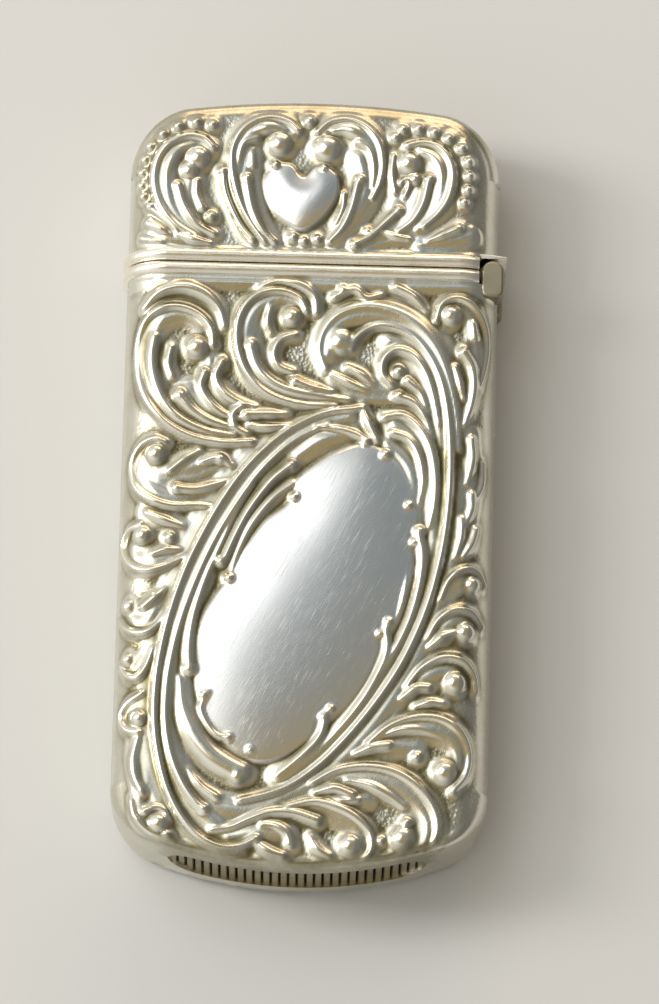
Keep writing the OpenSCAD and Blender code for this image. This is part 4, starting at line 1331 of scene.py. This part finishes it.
    def add_inside(self, bm: bmesh.types.BMesh) -> None:
        """Adds the inner sheet to the outer one and closes the lips between them.

        Args:
            bm: The struck outer sheet.
        """
        count = len(bm.faces)
        inside, _ = self.sheet(self.inner_across, self.along // self.inner_coarser)
        co = np.array([v.co[:] for v in inside.verts])
        out, _, _ = self.lie(co)
        for vert, place in zip(inside.verts, co - out * self.sizes.wall):
            vert.co = place
        spare = bpy.data.meshes.new("inner_sheet")
        inside.to_mesh(spare)
        inside.free()
        bm.from_mesh(spare)
        bpy.data.meshes.remove(spare)
        bm.faces.ensure_lookup_table()
        for face in bm.faces[count:]:
            face.material_index = 1
        total = len(bm.faces)
        lips = [e for e in bm.edges if e.is_boundary]
        for edge in lips:
            edge.smooth = False
        bmesh.ops.bridge_loops(bm, edges=lips)
        bm.faces.ensure_lookup_table()
        for number, face in enumerate(bm.faces):
            face.smooth = number < total
        bmesh.ops.recalc_face_normals(bm, faces=bm.faces)

    def build(self) -> None:
        """Makes the two half shells."""
        bm, cells = self.sheet(self.across, self.along)
        front_marks, back_marks = self.strike(bm, cells)
        self.add_inside(bm)
        back = bm.copy()
        over = Matrix.Rotation(math.pi, 3, "Y")
        bmesh.ops.rotate(back, cent=(0, 0, self.sizes.mid_z), matrix=over, verts=back.verts)
        halves = ((self.front_node, bm, front_marks), (self.back_node, back, back_marks))
        for node, mesh, marks in halves:
            piece = to_mesh_object("struck_" + node, mesh)
            for name, values in marks.items():
                held = np.zeros(len(piece.data.vertices), np.float32)
                held[:len(values)] = values
                piece.data.attributes.new(name, "FLOAT", "POINT").data.foreach_set("value", held)
            piece.data.materials.append(self.outer)
            piece.data.materials.append(self.inner)
            declare(piece, node, self.body)


@dataclass
class BodyShells(StampedPair):
    """Half shells of the body, with the striker's window in the base between them."""

    front_node: str = "body_front_shell"
    back_node: str = "body_back_shell"
    body: Body = Body.CASE
    across: int = 244
    along: int = 348
    cell: float = 0.14
    lip: float = 0.9
    matting: float = 0.6
    darkness: float = 0.95
    dark_tone: float = 0.7
    lip_shade_in: float = 1.6
    lip_shade_aside: float = 2.0

    def wall_end(self, x: float, y: float) -> float:
        """Finds the height at which the upright wall ends.

        Args:
            x: Place across.
            y: Place along.

        Returns:
            The height of the seam, or of the striker's window.
        """
        half, r = self.sizes.striker_w / 2, self.sizes.striker_h / 2
        if not self.relief.form.at_end(y) or abs(x) >= half:
            return self.sizes.mid_z
        return self.sizes.mid_z + math.sqrt(r ** 2 - max(abs(x) - half + r, 0) ** 2)

    def edge_shade(self, co: np.ndarray, depth: np.ndarray) -> tuple[np.ndarray, np.ndarray]:
        """Finds the painted shade on the front's edge beside the striker.

        Args:
            co: Points on the plain sheet.
            depth: Their depth inside the outline.

        Returns:
            How dark each point is on the front, and on the back.
        """
        # Painted shade on the front's lip beside the striker; the back gets none
        beside = ease((self.sizes.striker_w / 2 + self.lip_shade_aside - np.abs(co[:, 0])) / self.lip_shade_aside)
        dark_share = self.dark_tone * beside * ease(self.lip_shade_in - depth) * self.relief.form.at_end(co[:, 1])
        return dark_share, np.zeros(len(co))


@dataclass
class LidShells(StampedPair):
    """Half shells of the lid, with a plain band round the top."""

    front_node: str = "lid_front_shell"
    back_node: str = "lid_back_shell"
    body: Body = Body.LID
    across: int = 280
    along: int = 130
    cell: float = 0.12
    lip: float = 0.7
    matting: float = 0.3
    darkness: float = 0.8
    band_shade: float = 0.6
    band_shade_in: float = 2.2
    band_shade_down: float = 6.0
    band_shade_fade: float = 4.0

    def edge_shade(self, co: np.ndarray, depth: np.ndarray) -> tuple[np.ndarray, np.ndarray]:
        """Finds the painted shade on the plain band round the top.

        Args:
            co: Points on the plain sheet.
            depth: Their depth inside the outline.

        Returns:
            How dark each point is on the front, and on the back.
        """
        down = np.abs(co[:, 1] - self.relief.form.end_y)
        # Painted shade on the plain band round the top, the same on the front and the back
        darkened = self.band_shade * ease(self.band_shade_in - depth) * ease((self.band_shade_down - down) / self.band_shade_fade)
        return darkened, darkened


@dataclass
class HingePiece:
    """Piece of the hinge cut from a flat outline along the hinge, with eased edges, in place of a solid."""

    node: str
    body: Body
    slot: Slot
    finish: bpy.types.Material
    easing: float = 0.05
    short: float = 0.0
    round_steps: int = 32
    easing_steps: int = 3
    flat_above: float = 0.99

    def box(self) -> tuple[Vector, Vector]:
        """Corners of the solid, in millimetres."""
        lo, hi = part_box(self.node)
        return lo / MM, hi / MM

    def outline(self) -> list[Point]:
        """Draws the outline seen along the hinge: here a round, for the pin.

        Returns:
            Its points in order.
        """
        lo, hi = self.box()
        mid, r = (lo + hi) / 2, (hi.x - lo.x) / 2
        turns = np.linspace(0, 2 * math.pi, self.round_steps, endpoint=False)
        return [(mid.x + r * math.cos(a), mid.y + r * math.sin(a)) for a in turns]

    def build(self) -> None:
        """Cuts the piece from its outline and eases its edges."""
        lo, hi = self.box()
        bm = bmesh.new()
        face = bm.faces.new([bm.verts.new((x, y, lo.z + self.short)) for x, y in self.outline()])
        grown = bmesh.ops.extrude_face_region(bm, geom=[face])["geom"]
        top = [g for g in grown if isinstance(g, bmesh.types.BMVert)]
        bmesh.ops.translate(bm, vec=(0, 0, hi.z - lo.z - 2 * self.short), verts=top)
        bmesh.ops.recalc_face_normals(bm, faces=bm.faces)
        rims = [e for e in bm.edges if abs(e.verts[0].co.z - e.verts[1].co.z) < HARDLY]
        bmesh.ops.bevel(bm, geom=rims, offset=self.easing, offset_type="OFFSET", segments=self.easing_steps,
                        profile=0.5, affect="EDGES", material=-1, clamp_overlap=True)
        for item in bm.faces:
            item.smooth = abs(item.normal.z) < self.flat_above
        piece = to_mesh_object("eased_" + self.node, bm)
        piece.data.materials.append(self.finish)
        declare(piece, self.node, self.body)


@dataclass
class HingeLug(HingePiece):
    """Lug on the body, with a round top and a foot that runs into the side."""

    easing: float = 0.24
    foot_r: float = 0.6
    top_steps: int = 20
    foot_steps: int = 8

    def outline(self) -> list[Point]:
        """Draws the round top, straight sides and rounded foot.

        Returns:
            The points in order.
        """
        lo, hi = self.box()
        x, r, f = (lo.x + hi.x) / 2, (hi.x - lo.x) / 2, self.foot_r
        half_turn = np.linspace(0, math.pi, self.top_steps)
        quarter = np.linspace(0, math.pi / 2, self.foot_steps)
        top = [(x + r * math.cos(a), hi.y - r + r * math.sin(a)) for a in half_turn]
        left = [(lo.x + f - f * math.cos(a), lo.y + f - f * math.sin(a)) for a in quarter]
        right = [(hi.x - f + f * math.sin(a), lo.y + f - f * math.cos(a)) for a in quarter]
        return top + left + right


@dataclass
class StopTab(HingePiece):
    """Thin plate on the lid over the hinge, which bends down a little and narrows towards its edge."""

    droop: float = 0.6
    back_steps: int = 14

    def outline(self) -> list[Point]:
        """Draws a long wedge with a bowed back.

        Returns:
            The points in order.
        """
        lo, hi = self.box()
        share = np.linspace(0, 1, self.back_steps)
        back = [(lo.x + (hi.x - lo.x) * s, hi.y - (hi.y - lo.y) * self.droop * s ** 2) for s in share]
        return [(lo.x, lo.y), (hi.x, lo.y)] + back[::-1]


@dataclass(frozen=True)
class SoftBox:
    """Lamp that faces the case: its place and size in metres, its power in watts, and its colour."""

    name: str
    place: tuple[float, float, float]
    size: Point
    watts: float
    colour: str

    def build(self) -> None:
        """Adds the lamp."""
        data = bpy.data.lights.new(self.name, "AREA")
        data.shape = "RECTANGLE"
        data.size, data.size_y = self.size
        data.energy = self.watts
        data.color = srgb(self.colour)[:3]
        obj = bpy.data.objects.new(self.name, data)
        bpy.context.scene.collection.objects.link(obj)
        obj.location = self.place
        obj.rotation_euler = (-Vector(obj.location)).to_track_quat("-Z", "Y").to_euler()


LAMPS: tuple[SoftBox, ...] = (
    SoftBox("soft_box", (-0.28, 0.18, 0.6), (0.46, 0.4), 0.95, "#FDFEFF"),
    SoftBox("key_left", (-0.6, 0.1, 0.42), (0.2, 0.3), 2.6, "#FFF8EE"),
    SoftBox("top_back", (0.1, 0.6, 0.3), (0.5, 0.2), 0.85, "#FFDDB4"),
)


@dataclass(frozen=True)
class Studio:
    """Floor, lights, world and camera: angles in degrees, lengths in millimetres."""

    tilt: float = 17.0
    distance: float = 650.0
    roll: float = 1.5
    aim_z: float = 9.1
    px_per_mm: float = 12.3
    aim_px: Point = (307.3, 477.5)
    sensor: float = 36.0
    clip_m: Point = (0.01, 20.0)
    floor_half: float = 1500.0
    floor_rough: float = 0.8
    floor_shine: float = 0.2
    side_span: Span = (-0.7, 0.8)
    high_span: Span = (0.76, 0.95)
    rear_span: Span = (0.08, 0.26)
    floor: str = "#D7D9DA"
    left_wall: str = "#F6F3EC"
    right_wall: str = "#7C7A75"
    ceiling: str = "#A2926E"
    back_ceiling: str = "#7F898E"

    def camera(self) -> None:
        """Puts the camera where the photograph was taken from."""
        data = bpy.data.cameras.new("camera")
        obj = bpy.data.objects.new("camera", data)
        bpy.context.scene.collection.objects.link(obj)
        tilt, roll = math.radians(self.tilt), math.radians(self.roll)
        back = Vector((0, -math.sin(tilt), math.cos(tilt)))
        right = Vector((1, 0, 0))
        up = back.cross(right)
        aside = right * math.cos(roll) + up * math.sin(roll)
        upward = up * math.cos(roll) - right * math.sin(roll)
        eye = Vector((0, 0, self.aim_z)) + back * self.distance
        eye += aside * ((IMAGE_W / 2 - self.aim_px[0]) / self.px_per_mm)
        eye -= upward * ((IMAGE_H / 2 - self.aim_px[1]) / self.px_per_mm)
        turn = Matrix((aside, upward, back)).transposed().to_4x4()
        obj.matrix_world = Matrix.Translation(eye * MM) @ turn
        data.sensor_fit = "VERTICAL"
        data.sensor_height = self.sensor
        data.lens = self.px_per_mm * self.distance / IMAGE_H * self.sensor
        data.clip_start, data.clip_end = self.clip_m
        bpy.context.scene.camera = obj

    def lay_floor(self) -> None:
        """Lays the pale floor."""
        bm = bmesh.new()
        bmesh.ops.create_grid(bm, x_segments=2, y_segments=2, size=self.floor_half)
        floor = to_mesh_object("floor", bm)
        # Plain pale ground without a shine of its own
        material = bpy.data.materials.new("matt_paper")
        paper = {"Base Color": srgb(self.floor), "Roughness": self.floor_rough}
        NodeDrawing(material).surface({**paper, "Specular IOR Level": self.floor_shine})
        floor.data.materials.append(material)

    def room(self) -> None:
        """Surrounds the case with a plain room: light on the left, darker on the right, warm above."""
        world = bpy.data.worlds.new("studio")
        draw = NodeDrawing(world)
        way = draw.add("SeparateXYZ", None, {0: draw.add("TexCoord").outputs["Generated"]})
        side = draw.remap(way.outputs["X"], self.side_span, soft=True)
        high = draw.remap(way.outputs["Z"], self.high_span, soft=True)
        rear = draw.remap(way.outputs["Y"], self.rear_span, soft=True)
        walls = draw.mix(side, srgb(self.left_wall), srgb(self.right_wall))
        above = draw.mix(rear, srgb(self.ceiling), srgb(self.back_ceiling))
        light = draw.add("Background", None, {"Color": draw.mix(high, walls, above), "Strength": 1.0})
        draw.add("OutputWorld", None, {"Surface": light.outputs[0]})
        bpy.context.scene.world = world

    def build(self) -> None:
        """Sets up the whole studio."""
        self.camera()
        self.lay_floor()
        for lamp in LAMPS:
            lamp.build()
        self.room()
        bpy.context.scene.view_settings.view_transform = "Standard"


def finish_solids(frame: dict, finishes: dict[str, bpy.types.Material],
                  own: dict[str, bpy.types.Material]) -> None:
    """Gives every solid but the struck halves its metal.

    Args:
        frame: What the frame holds.
        finishes: The metal of each slot.
        own: The metal of each node that differs from its slot.
    """
    for part in frame["record"]["subparts"]:
        name, slot = part["node"], part["material_slot"]
        if slot in finishes:
            node = frame["nodes"][name]
            node.data.materials.clear()
            node.data.materials.append(own.get(name, finishes[slot]))
            log.info("%s solid: %s", name, node.data.materials[0].name)


def main() -> None:
    """Builds the case round its frame."""
    logging.basicConfig(level=logging.INFO, format="%(name)s %(message)s")
    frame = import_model()
    Studio().build()
    struck = StampedSilver().material()
    plain, gilt, steel = DRAWN_SILVER.material(), GILT_WASH.material(), BLUED_STEEL.material()
    half = SIZES.length / 2
    body_form = EndForm(-half, 1, SIZES.base_arc_r, SIZES.base_corner_r, SIZES.base_edge_r,
                        SIZES.part_y - SIZES.gap / 2 - SIZES.rim_h)
    lid_form = EndForm(half, -1, SIZES.lid_arc_r, SIZES.lid_corner_r, SIZES.lid_edge_r,
                       SIZES.part_y + SIZES.gap / 2 + SIZES.rim_h)
    BodyShells(Relief(BODY_LEAVES, BODY_SWELLS, BODY_BEADS, BODY_PANELS, body_form), struck, gilt).build()
    LidShells(Relief(LID_LEAVES, LID_SWELLS, LID_BEADS, LID_PANELS, lid_form), struck, gilt).build()
    darkened = DARKER_LUG_SILVER.material()
    HingeLug("hinge_lug_front", Body.CASE, Slot.PLAIN, darkened).build()
    HingeLug("hinge_lug_back", Body.CASE, Slot.PLAIN, darkened).build()
    HingePiece("hinge_pin", Body.CASE, Slot.STEEL, steel, short=0.3).build()
    StopTab("lid_tab", Body.LID, Slot.PLAIN, plain).build()
    finishes = {Slot.PLAIN.value: plain, Slot.GILT.value: gilt, Slot.STEEL.value: steel}
    own = {"striker_plate": GROOVE_SHADED_SILVER.material(), "spring_rivet": WORN_STEEL.material()}
    finish_solids(frame, finishes, own)


if __name__ == "__main__":
    main()
